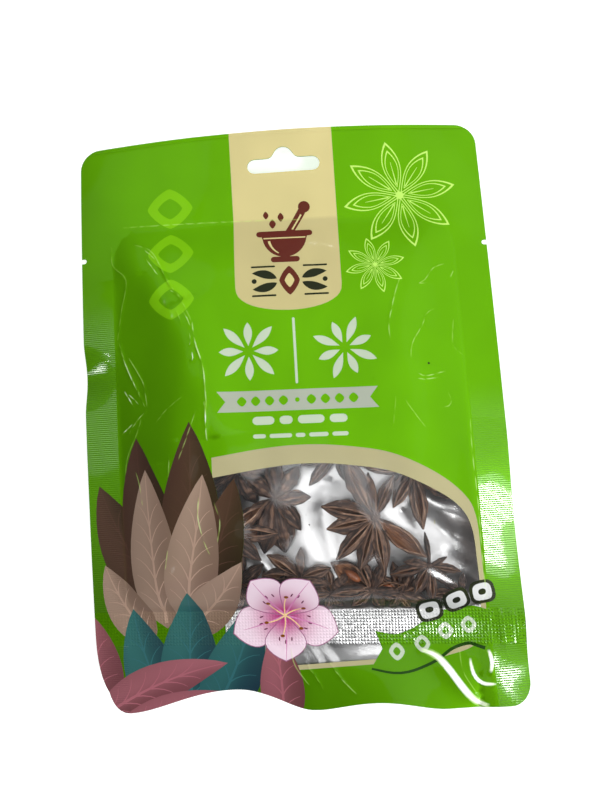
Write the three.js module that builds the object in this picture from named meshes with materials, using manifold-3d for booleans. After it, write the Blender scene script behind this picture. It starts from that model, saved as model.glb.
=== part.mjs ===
// A sealed flat pouch of whole star anise, lying on its back. The pouch is one
// heat-sealed film body: side seals, a header with a hang hole and two tear
// notches, an inset bottom seal, and a loose wavy flap below it. A clear window
// in the lower half lies over the pods, which stand out there in relief.
// Millimetres. +X is to the right, +Y towards the header, +Z up from the table,
// and the origin is at the centre of the back, on the table.
import * as THREE from "three";
import { mergeVertices } from "three/addons/utils/BufferGeometryUtils.js";
import Module from "manifold-3d";

const wasm = await Module();
wasm.setup();

// ---- Driving dimensions ----
const WIDTH = 130;
const HEIGHT = 180;
const CORNER_RADIUS = 6.5;
const SIDE_SEAL = 10;
const HEADER = 29; // from the top edge to where the pouch opens out
const SEAL_BAND = 10.3; // width of the bottom seal
const FLAP = 18.7; // loose film below the bottom seal
const SEALED_THICKNESS = 0.7;
const PRINT_CENTRE = 1.8; // the print sits a little right of the middle
const PRINT_SKEW = -0.028; // and it and the cross seals run this much off the cut edges

const HALF_WIDTH = WIDTH / 2;
const HALF_HEIGHT = HEIGHT / 2;
const INNER_HALF_WIDTH = HALF_WIDTH - SIDE_SEAL;
const POUCH_TOP = HALF_HEIGHT - HEADER;
const SEAL_BOTTOM = -HALF_HEIGHT + FLAP;
const POUCH_BOTTOM = SEAL_BOTTOM + SEAL_BAND;

// Heights above the table
const SEAL_HEIGHTS = [
  // the sealed film at the left, the middle and the right
  [0.6, 5.0, 8.0], // of the bottom edge,
  [6.9, 6.4, 6.3], // of the middle
  [6.1, 9.9, 0.6], // and of the top edge
];
const LOWER_BULGE = 8.4; // front film above the seals, over the pods
const UPPER_BULGE = 4.6; // and in the upper half
const BULGE_CHANGE_TOP = 34; // the bulge grows between these two heights
const BULGE_CHANGE_BOTTOM = -22;

// How far in from the seals each film takes to level off
const FRONT_SLOPES = { side: 25, top: 32, bottom: 15 };
const BACK_SLOPES = { side: 13, top: 16, bottom: 10 };
const HIP_SOFTNESS = 0.35; // rounding of the ridges that run in from the corners

// The flap's wave: one valley, one crest, a shallow ripple of the edge and a turned-in corner
const VALLEY = { x: -22, left: 34, right: 24, depth: 4, inset: 5.8 };
const CREST = { x: 30, halfWidth: 24, rise: 2.4 };
const RIPPLE = { x: 22, halfWidth: 19, inset: 2 };
const TURNED_CORNER = { inset: 3.4, length: 24 };

// Hang hole: a slot with a rounded bump in the middle of its top edge
const HANG_HOLE = { centre: 2.4, width: 23.2, slot: 4.6, bump: 7.6, rise: 3.6, base: 76.1, fillet: 1.6 };

// Tear notches: small round-ended cuts, the left one a little higher
const TEAR_NOTCHES = { left: 52.4, right: 49.3, depth: 1.6, width: 1.6 };

// Window in the front film, and how far its sunk surface lies under the film
const WINDOW = { left: -20.5, right: 52.4, bottom: -77, sideTop: -37.6, crown: -17.2, crownX: 5 };
const WINDOW_SINK = 1.1;

// Star anise
const FOLLICLE_SIDES = 6;
const FOLLICLE_PROFILE = [
  [0, 0.04],
  [0.22, 0.11],
  [0.5, 0.17],
  [0.74, 0.12],
  [1, 0],
]; // [share of the pod's radius, half-width as a share of it]
const FOLLICLE_DEPTH = 1.15; // depth over width
const POD_HUB = 0.2; // share of the pod's radius
const POD_CLEARANCE = 0.15; // the film lies this far above the pods
const PODS = [
  // x, y, radius, follicles, turn in degrees
  { x: 23.1, y: -34.1, radius: 15.0, follicles: 8, turn: 8 },
  { x: 37.2, y: -46.6, radius: 11.0, follicles: 8, turn: 20 },
  { x: 20.5, y: -50.4, radius: 9.5, follicles: 8, turn: 3 },
  { x: 2.6, y: -50.0, radius: 10.0, follicles: 8, turn: 27 },
  { x: -4.7, y: -26.1, radius: 12.5, follicles: 8, turn: 32 },
  { x: 35.9, y: -22.6, radius: 13.0, follicles: 8, turn: 40 },
  { x: -20.5, y: -38.7, radius: 13.0, follicles: 8, turn: 14 },
  { x: 11.2, y: -18.1, radius: 11.5, follicles: 8, turn: 5 },
];

// Mesh fineness
const FRONT_CELLS = [38, 52];
const BACK_CELLS = [20, 28];
const CURVE_STEPS = 8;
const EDGE_STEPS = 30; // along the wavy bottom edge
const MERGE_DISTANCE = 1e-3;

// ---- Heights of the film ----
const clamp = THREE.MathUtils.clamp;
const smoothstep = THREE.MathUtils.smoothstep;

function smoothMin(a, b, softness) {
  const near = Math.max(softness - Math.abs(a - b), 0) / softness;
  return Math.min(a, b) - (near * near * softness) / 4;
}

// A hump that is 1 at its middle and 0 beyond its half-width.
function hump(distance, halfWidth) {
  const t = clamp(Math.abs(distance) / halfWidth, 0, 1);
  return (1 - t * t) ** 2;
}

// How far the pouch has opened out at a point: 0 in the seals and 1 where a film is level.
function openness(x, y, slopes) {
  const up = y - PRINT_SKEW * (x - PRINT_CENTRE);
  const side = (INNER_HALF_WIDTH - Math.abs(x)) / slopes.side;
  const end = Math.min((POUCH_TOP - up) / slopes.top, (up - POUCH_BOTTOM) / slopes.bottom);
  const t = clamp(smoothMin(Math.min(side, 2), Math.min(end, 2), HIP_SOFTNESS), 0, 1);
  return 1 - (1 - t) ** 2;
}

// A surface through the nine SEAL_HEIGHTS, quadratic each way.
function sealPlane(x, y) {
  const basis = (t) => [(t * (t - 1)) / 2, 1 - t * t, (t * (t + 1)) / 2];
  const [across, along] = [basis(x / HALF_WIDTH), basis(y / HALF_HEIGHT)];
  const rows = SEAL_HEIGHTS.map((row) => row.reduce((sum, height, i) => sum + height * across[i], 0));
  return rows.reduce((sum, height, j) => sum + height * along[j], 0);
}

function valleyHump(x) {
  return hump(x - VALLEY.x, x < VALLEY.x ? VALLEY.left : VALLEY.right);
}

function sealHeight(x, y) {
  const alongFlap = clamp((SEAL_BOTTOM - y) / FLAP, 0, 1) ** 1.5;
  const wave = CREST.rise * hump(x - CREST.x, CREST.halfWidth) - VALLEY.depth * valleyHump(x);
  return sealPlane(x, y) + wave * alongFlap;
}

function frontHeight(x, y) {
  const lower = 1 - smoothstep(y, BULGE_CHANGE_BOTTOM, BULGE_CHANGE_TOP);
  const bulge = THREE.MathUtils.lerp(UPPER_BULGE, LOWER_BULGE, lower);
  return sealHeight(x, y) + SEALED_THICKNESS / 2 + bulge * openness(x, y, FRONT_SLOPES);
}

function backHeight(x, y) {
  return (sealHeight(x, y) - SEALED_THICKNESS / 2) * (1 - openness(x, y, BACK_SLOPES));
}

// ---- Outlines ----
function roundedTo(shape, cornerX, cornerY, endX, endY) {
  shape.quadraticCurveTo(cornerX, cornerY, endX, endY);
}

function bottomEdge(x) {
  return -HALF_HEIGHT + VALLEY.inset * valleyHump(x) + RIPPLE.inset * hump(x - RIPPLE.x, RIPPLE.halfWidth);
}

// Cuts into the right edge (side 1) on the way up, or into the left edge (side -1) on the way down.
function tearNotch(shape, side, y) {
  const { depth, width } = TEAR_NOTCHES;
  const radius = width / 2;
  const end = side * (HALF_WIDTH - depth + radius);
  shape.lineTo(side * HALF_WIDTH, y - side * radius);
  shape.absarc(end, y, radius, (-side * Math.PI) / 2, (side * Math.PI) / 2, true);
  shape.lineTo(side * HALF_WIDTH, y + side * radius);
}

function pouchOutline() {
  const [w, h, r] = [HALF_WIDTH, HALF_HEIGHT, CORNER_RADIUS];
  const shape = new THREE.Shape();
  const leftTurn = -w + TURNED_CORNER.inset;
  for (let step = 0; step <= EDGE_STEPS; step++) {
    const x = THREE.MathUtils.lerp(leftTurn + r, w - r, step / EDGE_STEPS);
    if (step === 0) shape.moveTo(x, bottomEdge(x));
    else shape.lineTo(x, bottomEdge(x));
  }
  roundedTo(shape, w, -h, w, -h + r);
  tearNotch(shape, 1, TEAR_NOTCHES.right);
  shape.lineTo(w, h - r);
  roundedTo(shape, w, h, w - r, h);
  shape.lineTo(-w + r, h);
  roundedTo(shape, -w, h, -w, h - r);
  tearNotch(shape, -1, TEAR_NOTCHES.left);
  shape.lineTo(-w, -h + TURNED_CORNER.length);
  shape.quadraticCurveTo(-w, -h + TURNED_CORNER.length / 2, leftTurn, -h + r);
  roundedTo(shape, leftTurn + r / 4, bottomEdge(leftTurn + r), leftTurn + r, bottomEdge(leftTurn + r));
  shape.holes.push(hangHole());
  return shape;
}

function hangHole() {
  const { centre, width, slot, bump, rise, base, fillet } = HANG_HOLE;
  const end = slot / 2;
  const [left, right] = [centre - width / 2 + end, centre + width / 2 - end];
  const shoulder = base + slot;
  const path = new THREE.Path();
  path.moveTo(left, base);
  path.absarc(left, base + end, end, -Math.PI / 2, Math.PI / 2, true);
  path.lineTo(centre - bump / 2 - fillet, shoulder);
  path.quadraticCurveTo(centre - bump / 2, shoulder, centre - bump / 2 + fillet / 2, shoulder + fillet);
  path.quadraticCurveTo(centre - bump / 4, shoulder + rise, centre, shoulder + rise);
  path.quadraticCurveTo(centre + bump / 4, shoulder + rise, centre + bump / 2 - fillet / 2, shoulder + fillet);
  path.quadraticCurveTo(centre + bump / 2, shoulder, centre + bump / 2 + fillet, shoulder);
  path.absarc(right, base + end, end, Math.PI / 2, -Math.PI / 2, true);
  path.lineTo(left, base);
  return path;
}

function windowOutline() {
  const { left, right, bottom, sideTop, crown, crownX } = WINDOW;
  const shape = new THREE.Shape();
  shape.moveTo(left + 18, bottom);
  shape.lineTo(right - 2, bottom);
  shape.lineTo(right, sideTop);
  shape.bezierCurveTo(right - 2, sideTop + 9, right - 22, crown, crownX, crown);
  shape.quadraticCurveTo(left + 12, crown, left, crown - 3.5);
  shape.lineTo(left, POUCH_BOTTOM + 8);
  return shape;
}

// ---- Solids ----
function toSolid(geometry) {
  const bare = geometry.clone();
  bare.deleteAttribute("normal");
  bare.deleteAttribute("uv");
  const merged = mergeVertices(bare, MERGE_DISTANCE);
  const vertProperties = new Float32Array(merged.attributes.position.array);
  const triVerts = new Uint32Array(merged.index.array);
  return new wasm.Manifold(new wasm.Mesh({ numProp: 3, vertProperties, triVerts }));
}

function toGeometry(solid) {
  const { vertProperties, triVerts } = solid.getMesh();
  const geometry = new THREE.BufferGeometry();
  geometry.setAttribute("position", new THREE.BufferAttribute(vertProperties, 3));
  geometry.setIndex(new THREE.BufferAttribute(triVerts, 1));
  geometry.computeVertexNormals();
  return geometry;
}

// A block with a flat underside at the given level, whose top follows a height function.
function blockUnder(heightAt, cells, underside) {
  const overhang = 4;
  const geometry = new THREE.BoxGeometry(WIDTH + overhang, HEIGHT + overhang, 2, cells[0], cells[1], 1);
  const position = geometry.attributes.position;
  for (let i = 0; i < position.count; i++) {
    const top = position.getZ(i) > 0;
    position.setZ(i, top ? heightAt(position.getX(i), position.getY(i)) : underside);
  }
  return toSolid(geometry);
}

function prism(shape) {
  const depth = 60;
  const geometry = new THREE.ExtrudeGeometry(shape, { depth, bevelEnabled: false, curveSegments: CURVE_STEPS });
  return toSolid(geometry.translate(0, 0, -depth / 2));
}

// One boat-shaped seed case along +X, from the pod's middle to its beak.
function follicle(radius) {
  const points = FOLLICLE_PROFILE.map(([along, half]) => new THREE.Vector2(half * radius, along * radius));
  const closed = [new THREE.Vector2(0, 0), ...points];
  return new THREE.LatheGeometry(closed, FOLLICLE_SIDES)
    .rotateZ(-Math.PI / 2)
    .scale(1, 1, FOLLICLE_DEPTH);
}

// Puts a piece of a pod in its place, with its upper side following the film at a given depth.
function underFilm(geometry, x, y, depth) {
  const position = geometry.translate(x, y, 0).attributes.position;
  for (let i = 0; i < position.count; i++) {
    const level = frontHeight(position.getX(i), position.getY(i)) - depth;
    position.setZ(i, position.getZ(i) + level);
  }
  return toSolid(geometry);
}

function pod({ x, y, radius, follicles, turn }) {
  const halfWidth = Math.max(...FOLLICLE_PROFILE.map(([, half]) => half)) * radius;
  const depth = halfWidth * FOLLICLE_DEPTH + POD_CLEARANCE;
  const hub = new THREE.SphereGeometry(POD_HUB * radius, FOLLICLE_SIDES, 4);
  const parts = [underFilm(hub, x, y, depth)];
  for (let i = 0; i < follicles; i++) {
    const angle = THREE.MathUtils.degToRad(turn) + (i * 2 * Math.PI) / follicles;
    parts.push(underFilm(follicle(radius).rotateZ(angle), x, y, depth));
  }
  return wasm.Manifold.union(parts);
}

// The outer shell alone: small hollows sealed in between the pods are filled, and loose scraps dropped.
function outerShell(solid) {
  return solid.decompose().reduce((largest, body) => (body.volume() > largest.volume() ? body : largest));
}

function pouchSolid() {
  const underside = -10;
  const film = blockUnder(frontHeight, FRONT_CELLS, underside);
  const sunk = blockUnder((x, y) => frontHeight(x, y) - WINDOW_SINK * openness(x, y, FRONT_SLOPES), FRONT_CELLS, underside);
  const back = blockUnder(backHeight, BACK_CELLS, 2 * underside);
  const window = prism(windowOutline());
  const podsInWindow = wasm.Manifold.union(PODS.map(pod)).intersect(window);
  const whole = film
    .subtract(window.subtract(sunk))
    .add(podsInWindow)
    .subtract(back)
    .intersect(prism(pouchOutline()));
  return outerShell(toSolid(toGeometry(outerShell(whole))));
}

// ---- The object ----
const filmMaterial = new THREE.MeshStandardMaterial({ color: 0x5fae0a, roughness: 0.25, metalness: 0 });

const starAnisePouch = new THREE.Group();
const pouch = new THREE.Mesh(toGeometry(pouchSolid()), filmMaterial);
pouch.name = "pouch";
starAnisePouch.add(pouch);

export default starAnisePouch;
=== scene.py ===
"""The looks of a sealed pouch of whole star anise, lying on its back.

Everything is worked out in millimetres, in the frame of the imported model: +X to
the right, +Y towards the header, +Z up from the table. MM turns it to metres
where a mesh is made. The film follows the same height functions as the solid,
with creases, dents and the embossing of the seals added.
"""

import math

import bpy
import numpy as np
from mathutils import Matrix, Vector
from mathutils.geometry import delaunay_2d_cdt

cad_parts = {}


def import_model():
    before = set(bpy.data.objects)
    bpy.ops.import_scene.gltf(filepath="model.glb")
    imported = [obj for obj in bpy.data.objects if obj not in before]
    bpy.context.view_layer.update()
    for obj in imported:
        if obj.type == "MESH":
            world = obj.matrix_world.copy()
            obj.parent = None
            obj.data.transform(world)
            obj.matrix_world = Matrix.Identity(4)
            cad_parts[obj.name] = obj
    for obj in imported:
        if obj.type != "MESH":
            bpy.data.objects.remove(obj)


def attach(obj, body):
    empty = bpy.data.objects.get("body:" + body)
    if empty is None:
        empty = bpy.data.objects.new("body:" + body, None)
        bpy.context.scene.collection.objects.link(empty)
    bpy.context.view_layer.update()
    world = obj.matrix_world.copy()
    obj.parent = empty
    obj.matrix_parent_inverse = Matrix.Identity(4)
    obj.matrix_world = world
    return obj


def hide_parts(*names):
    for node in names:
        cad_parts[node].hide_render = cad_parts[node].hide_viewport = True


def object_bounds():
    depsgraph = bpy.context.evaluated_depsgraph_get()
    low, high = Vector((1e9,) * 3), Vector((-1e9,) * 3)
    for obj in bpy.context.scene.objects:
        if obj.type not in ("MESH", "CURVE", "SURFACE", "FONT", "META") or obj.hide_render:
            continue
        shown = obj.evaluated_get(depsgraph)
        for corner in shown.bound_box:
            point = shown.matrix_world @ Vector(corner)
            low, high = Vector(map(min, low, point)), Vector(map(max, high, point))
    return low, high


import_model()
CAD_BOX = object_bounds()

MM = 0.001

# ---- The pouch's driving sizes: its two sides from the frame, the others as in the solid ----
WIDTH, HEIGHT, _ = (round((high - low) / MM, 2) for low, high in zip(*CAD_BOX))
CORNER_RADIUS = 6.5
SIDE_SEAL = 10.0
HEADER = 29.0
SEAL_BAND = 10.3
FLAP = 18.7
SEALED_THICKNESS = 0.7
PRINT_CENTRE = 1.8
PRINT_SKEW = -0.028  # the print and the seals run this much off the cut edges
HALF_WIDTH = WIDTH / 2
HALF_HEIGHT = HEIGHT / 2
INNER_HALF_WIDTH = HALF_WIDTH - SIDE_SEAL
POUCH_TOP = HALF_HEIGHT - HEADER
SEAL_BOTTOM = -HALF_HEIGHT + FLAP
POUCH_BOTTOM = SEAL_BOTTOM + SEAL_BAND

# Height of the sealed film: rows from the bottom edge up, columns from the left
SEAL_HEIGHTS = ((0.6, 5.0, 8.0), (6.9, 6.4, 6.3), (6.1, 9.9, 0.6))
LOWER_BULGE = 8.4
UPPER_BULGE = 4.6
BULGE_CHANGE = (-22.0, 34.0)
FRONT_SLOPES = {"side": 25.0, "top": 32.0, "bottom": 15.0}
BACK_SLOPES = {"side": 13.0, "top": 16.0, "bottom": 10.0}
HIP_SOFTNESS = 0.35
EASE = 0.10

# The loose flap under the bottom seal
VALLEY = {"x": -22.0, "left": 34.0, "right": 24.0, "depth": 4.0, "inset": 5.8}
CREST = {"x": 30.0, "half_width": 24.0, "rise": 2.4}
RIPPLE = {"x": 22.0, "half_width": 19.0, "inset": 2.0}
TURNED_CORNER = {"inset": 3.4, "length": 24.0}
FLAP_GAP = {"mean": 1.3, "change": 0.8, "wave": 0.11, "phase": 0.6}

HANG_HOLE = {"centre": 2.4, "base": 76.1, "width": 23.2, "slot": 4.6, "bump": 7.6, "rise": 3.6}
HANG_HOLE_FILLET = 1.6
TEAR_NOTCHES = {"left": 52.4, "right": 49.3, "depth": 1.6, "width": 1.6}

FILM = 0.12  # thickness of one film
LAYER_GAP = 0.08  # between two films that lie on each other

# ---- Colours, as seen (sRGB, 0 to 255) ----
GREEN = (94, 163, 3)
PALE_GREEN = (120, 188, 14)
LINE_GREEN = (186, 228, 106)
BANNER_EDGE = (22, 60, 8)
CREAM = (208, 195, 138)
# the cream in painted shade, below the header's seal
SHADED_CREAM = (192, 180, 129)
ARCH_CREAM = (172, 164, 127)
MAROON = (92, 26, 32)
BLACK = (26, 26, 26)
PALE_GREY = (186, 200, 178)
RIBBON_GREY = (166, 173, 159)
BOX_WHITE = (206, 207, 208)
BACK_BARS = (70, 96, 40)
BACK_DIAMONDS = (70, 120, 30)
CREASE_LIGHT_GREEN = (196, 240, 96)  # ink lightened along a crease: partly stress whitening, partly painted highlight
# painted highlight, white where a crease or fold catches the light
CREASE_GLINT_WHITE = (252, 255, 250)
# Leaves and petals, dark and light
DARK_BROWN = ((34, 20, 20), (74, 48, 44))
TAUPE = ((112, 88, 78), (152, 128, 114))
TEAL = ((20, 40, 60), (46, 100, 100))
MAUVE = ((94, 48, 58), (152, 90, 102))
PINK = ((168, 40, 118), (228, 206, 220))
PETAL_RIM = (150, 92, 130)
PETAL_SPOT = (96, 24, 70)
PETAL_VEIN = (196, 120, 170)
STAMEN = (226, 196, 140)
STAMEN_TIP = (120, 62, 30)
# Ramps: (place, colour)
HUSK_COLOURS = [(0.0, (28, 18, 14)), (0.35, (70, 48, 38)), (0.7, (128, 96, 76)), (1.0, (204, 172, 144))]
HOLLOW_COLOURS = [(0.3, (112, 68, 42)), (0.7, (172, 120, 80))]
SEED_COLOURS = [(0.3, (112, 60, 32)), (0.7, (158, 92, 54))]


# ---- Small tools ----
def between(low, high, share):
    return low + (high - low) * share


def smoothstep(value, low, high):
    t = np.clip((value - low) / (high - low), 0.0, 1.0)
    return t * t * (3 - 2 * t)


def smooth_min(a, b, softness):
    near = np.maximum(softness - np.abs(a - b), 0) / softness
    return np.minimum(a, b) - near * near * softness / 4


def hump(distance, half_width):
    """1 at the middle and 0 beyond the half-width."""
    t = np.clip(np.abs(distance) / half_width, 0, 1)
    return (1 - t * t) ** 2


def bell(t):
    return np.exp(-t * t)


def waves(x, y, table):
    """Sum of the table's sine waves: (height, change along x, change along y, phase)."""
    return sum(height * np.sin(u * x + v * y + phase) for height, u, v, phase in table)


def unit(degrees):
    """The unit vector of a heading."""
    angle = math.radians(degrees)
    return np.array([math.cos(angle), math.sin(angle)])


def steps_between(a, b, longest):
    """Shares of the way from a up to b, in even steps no longer than the given length."""
    count = max(int(np.ceil(np.linalg.norm(b - a) / longest)), 1)
    return np.arange(count) / count


def linear(colour):
    """An sRGB colour of 0 to 255 as linear light."""
    share = np.asarray(colour, float) / 255
    return np.where(share <= 0.04045, share / 12.92, ((share + 0.055) / 1.055) ** 2.4)


# ---- Heights of the films ----
def seal_plane(x, y):
    """A surface through the nine SEAL_HEIGHTS, quadratic each way."""

    def basis(t):
        return (t * (t - 1) / 2, 1 - t * t, t * (t + 1) / 2)

    across, along = basis(x / HALF_WIDTH), basis(y / HALF_HEIGHT)
    return sum(SEAL_HEIGHTS[j][i] * along[j] * across[i] for j in range(3) for i in range(3))


def valley_hump(x):
    distance = x - VALLEY["x"]
    return hump(distance, np.where(distance < 0, VALLEY["left"], VALLEY["right"]))


def seal_height(x, y):
    along_flap = np.clip((SEAL_BOTTOM - y) / FLAP, 0, 1) ** 1.5
    wave = CREST["rise"] * hump(x - CREST["x"], CREST["half_width"]) - VALLEY["depth"] * valley_hump(x)
    return seal_plane(x, y) + wave * along_flap


def straightened(x, y):
    """The height up the print of a point on the pouch."""
    return y - PRINT_SKEW * (x - PRINT_CENTRE)


def eased(t):
    """A start without a kink, so that a film leaves its seal softly."""
    t = np.maximum(t, 0)
    return (1 + EASE) * t * t / (t + EASE)


def openness(x, y, slopes):
    """How far the pouch has opened out: 0 in the seals, 1 where a film is level."""
    up = straightened(x, y)
    side = eased((INNER_HALF_WIDTH - np.abs(x)) / slopes["side"])
    end = np.minimum(eased((POUCH_TOP - up) / slopes["top"]), (up - POUCH_BOTTOM) / slopes["bottom"])
    t = np.clip(smooth_min(np.minimum(side, 2), np.minimum(end, 2), HIP_SOFTNESS), 0, 1)
    return 1 - (1 - t) ** 2


# Sharp creases: (points, rise, width, how far the ink is lightened: stress whitening and painted highlight).
# They follow the film's folds.
CREASES = [
    ([(-47, 56.1), (-41, 52.6), (-35.7, 41.7), (-32.2, 36.9), (-28.5, 28.5)], 0.2, 0.5, 0.35),
    ([(-28.5, 28.5), (-27.5, 21.4), (-25.5, 14.3), (-25, 8.1), (-24.8, 1.3)], 0.2, 0.45, 0.75),
    ([(-24.9, 3), (-25.3, -3.6), (-25.2, -8.8)], 0.12, 0.35, 0.7),
    ([(-25.5, 3.2), (-25.2, -1), (-25.4, -4.4)], 0.06, 0.3, 1),
    ([(-43.7, 53.8), (-41.5, 51.8), (-39.6, 49.5)], 0.08, 0.3, 0.5),
    ([(-43.2, 50.9), (-41.2, 47.8), (-39.2, 44.8)], 0.08, 0.3, 0.6),
    ([(-40, 49.5), (-37.6, 45.8), (-35.2, 41.7)], 0.08, 0.3, 0.4),
    ([(-35.2, 39.4), (-33.3, 37.8), (-31.5, 36)], 0.08, 0.3, 0.6),
    ([(-33.6, 33.4), (-32.5, 30.3), (-31.7, 27.5)], 0.08, 0.3, 0.6),
    ([(-31.5, 32.3), (-30, 29.8), (-29, 26.9)], 0.08, 0.3, 0.6),
    ([(-29.5, 25), (-29, 22.7), (-29.4, 20.9)], 0.1, 0.3, 0.9),
    ([(-27.8, 21.1), (-27.1, 19.1), (-26.2, 16.8)], 0.1, 0.3, 1),
    ([(-28.8, 18.9), (-28.5, 17), (-28.9, 16.1)], 0.1, 0.3, 0.9),
    ([(-54.9, 56.5), (-54.6, 50), (-50.2, 44.6), (-52.2, 35.2), (-54, 25.4)], 0.1, 0.4, 0.25),
    ([(-53.6, 24.8), (-50.9, 16), (-45, 3.1)], 0.18, 0.4, 0.75),
    ([(-50.3, 19.5), (-47.1, 14), (-45.3, 10.1), (-44.3, 3)], 0.08, 0.3, 0.45),
    ([(-52.2, 9.1), (-50.4, 6.1), (-48.9, 3.5)], 0.1, 0.3, 0.95),
    ([(-50.7, 8), (-48.7, 5.9), (-46.4, 3.6)], 0.08, 0.3, 0.8),
    ([(-44.5, 2.1), (-47.8, -0.5), (-51.1, -4.6)], 0.12, 0.35, 0.5),
    ([(-49.6, -1.6), (-52.2, -3.5), (-54.3, -5.2)], 0.08, 0.3, 0.8),
    ([(-46.4, 0), (-48, -4.4), (-51.8, -12), (-53.2, -20)], 0.1, 0.35, 0.3),
    ([(-32.4, 5.3), (-36.3, 2.7), (-38.7, 0.8), (-41.7, -2.3)], 0.06, 0.3, 0.25),
    ([(-28.1, 0.7), (-30.5, -5.1), (-32.8, -10.8), (-34.6, -14.8)], 0.08, 0.3, 0.4),
    ([(-48.8, -16.5), (-47.6, -21), (-46.9, -27)], 0.12, 0.35, 0.4),
    ([(-28.2, -24), (-29, -31), (-27.6, -38), (-25.9, -42.5)], 0.14, 0.35, 0.6),
    ([(-37, -12.5), (-37.6, -19)], 0.1, 0.3, 0.4),
    ([(-38.8, -40.5), (-40, -46.5)], 0.1, 0.3, 0.4),
    ([(-24, -27), (-22.4, -33), (-23.4, -39)], 0.1, 0.3, 0.5),
    ([(50.9, 42.6), (47, 40.9), (44.1, 37.2), (42.2, 36.1), (45, 36.2)], 0.1, 0.3, 0.4),
    ([(46.5, 28.1), (43.5, 26.2), (42.1, 22.7), (39.1, 18.3), (37.9, 14.8), (37.8, 12.6)], 0.1, 0.3, 0.4),
    ([(36.4, 38.2), (34.8, 34.1), (33, 28.2), (31.8, 23.1), (32, 17.7)], 0.1, 0.3, 0.5),
    ([(53.6, 40.4), (52.4, 38.1)], 0.06, 0.3, 0.4),
    ([(52.1, 24.8), (51.3, 18.9), (51.4, 16), (54.1, 13.1)], 0.08, 0.3, 0.3),
    ([(39.3, 7.8), (41.7, 6.8), (45.4, 7.6), (48.3, 8.3)], 0.12, 0.3, 0.5),
    ([(39.2, 6.2), (41.6, 5.8), (46, 6.4)], 0.1, 0.3, 0.5),
    ([(48.1, 1.8), (49, -0.7), (48.1, -2.5), (45.4, -2.8)], 0.08, 0.3, 0.4),
    ([(34.8, -0.2), (37.2, -4.2), (40.3, -8.9)], 0.06, 0.35, 0.3),
    ([(32.2, 1.3), (31.5, -3.2), (30.5, -8.5)], 0.06, 0.35, 0.2),
    ([(54.5, -6.4), (54.2, -17.1), (54.5, -31.1), (54.3, -48.7), (54.5, -60)], 0.1, 0.3, 0.5),
    ([(-0.6, -71.4), (0.5, -77.4), (2.3, -79.8), (4.9, -84.4)], 0.12, 0.35, 0.6),
    ([(4.3, -71.9), (7.8, -77.6), (10.9, -81.9), (14.5, -85.6)], 0.12, 0.35, 0.5),
    ([(-4.4, -71.6), (-3.4, -77), (0.6, -83)], 0.1, 0.4, 0.4),
    # The next three are wide folds on the flap whose marks are painted highlights.
    ([(34, -73.6), (38.4, -75.4), (41.8, -79.2), (45.3, -84.4), (48.4, -88), (52.4, -89.8)], 0.12, 1.9, 1.2),
    ([(48.1, -76.4), (48.8, -80.9), (51, -83.4), (55, -83.8)], 0.14, 1, 1.2),
    ([(53.7, -74.2), (54.3, -77.8), (53.6, -80.8)], 0.12, 1.1, 1.2),
    ([(45.4, -73.8), (45.8, -80), (49, -86)], 0.1, 0.4, 0.3),
    ([(-51.5, 62.4), (-38.5, 61.9), (-25.5, 61.4), (-10.5, 60.8), (8, 60)], 0.04, 0.5, 0.35),
]
# Soft folds: (points, rise, width)
FOLDS = [
    ([(-48, 46), (-46, 26), (-44, 6), (-46, -14)], -1.1, 7.5),
    ([(-32.5, 36), (-26, 16), (-23.5, -8)], 1.2, 7.5),
    ([(-33, -8), (-36, -30), (-37, -52)], 0.5, 4.5),
    ([(43.6, 36), (44.4, 22), (43.4, 10)], -0.2, 4.5),
    ([(-4, 47), (2, 40), (10, 44)], 0.25, 7),
    ([(36, 30), (33, 8), (34, -12)], 0.12, 4),
    ([(-20, 8), (2, 3), (26, 7)], -0.3, 7),
    ([(-8, -71.5), (-12, -80), (-14, -86)], 0.4, 3),
    ([(34, -72), (42, -79.5), (50, -88.5)], 0.5, 3.4),
    ([(50, -92), (66, -93)], 1.3, 12),
    ([(-6, -70), (14, -71.5), (36, -72), (58, -72)], -0.7, 5),
]
# Where a pod presses the film up, or nothing holds it: (x, y, reach, rise)
BUMPS = [
    (-45, 55, 11, -1.1),
    (23, -34, 9, 0.9),
    (20.5, -53.5, 6.5, 0.6),
    (-19.5, -38.5, 8, 0.8),
    (-4.5, -27, 8, 0.9),
    (2, -51, 6, 0.6),
    (34.5, -20, 7, 0.6),
    (12, -44, 5, -0.5),
    (43.5, -34, 6, -0.9),
    (8, -36, 5, -0.7),
]


def smooth_curve(points, step):
    """A Catmull-Rom curve through the points, with a vertex about every step."""
    knots = np.asarray(points, float)
    ends = np.vstack([2 * knots[0] - knots[1], knots, 2 * knots[-1] - knots[-2]])
    curve = []
    for a, b, c, d in zip(ends, ends[1:], ends[2:], ends[3:]):
        slope, bend, twist = c - a, 2 * a - 5 * b + 4 * c - d, 3 * b - a - 3 * c + d
        curve.extend(b + (slope * t + bend * t**2 + twist * t**3) / 2 for t in steps_between(b, c, step))
    return np.array([*curve, knots[-1]])


def curved(table, step):
    """The table's lines as curves, with their rise and width."""
    return [(smooth_curve(points, step), rise, width) for points, rise, width, *_ in table]


CREASE_LINES = curved(CREASES, 1.2)
FOLD_LINES = curved(FOLDS, 4.0)


def from_line(x, y, line):
    """Distance from a line, and a share that fades to 0 at the line's two ends."""
    best = np.full(x.shape, np.inf)
    share = np.zeros(x.shape)
    count = len(line) - 1
    for index in range(count):
        start, along = line[index], line[index + 1] - line[index]
        t = np.clip(((x - start[0]) * along[0] + (y - start[1]) * along[1]) / (along @ along), 0, 1)
        distance = np.hypot(x - start[0] - t * along[0], y - start[1] - t * along[1])
        nearer = distance < best
        best = np.where(nearer, distance, best)
        share = np.where(nearer, (index + t) / count, share)
    return best, np.sqrt(np.clip(4 * share * (1 - share), 0, 1))


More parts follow.
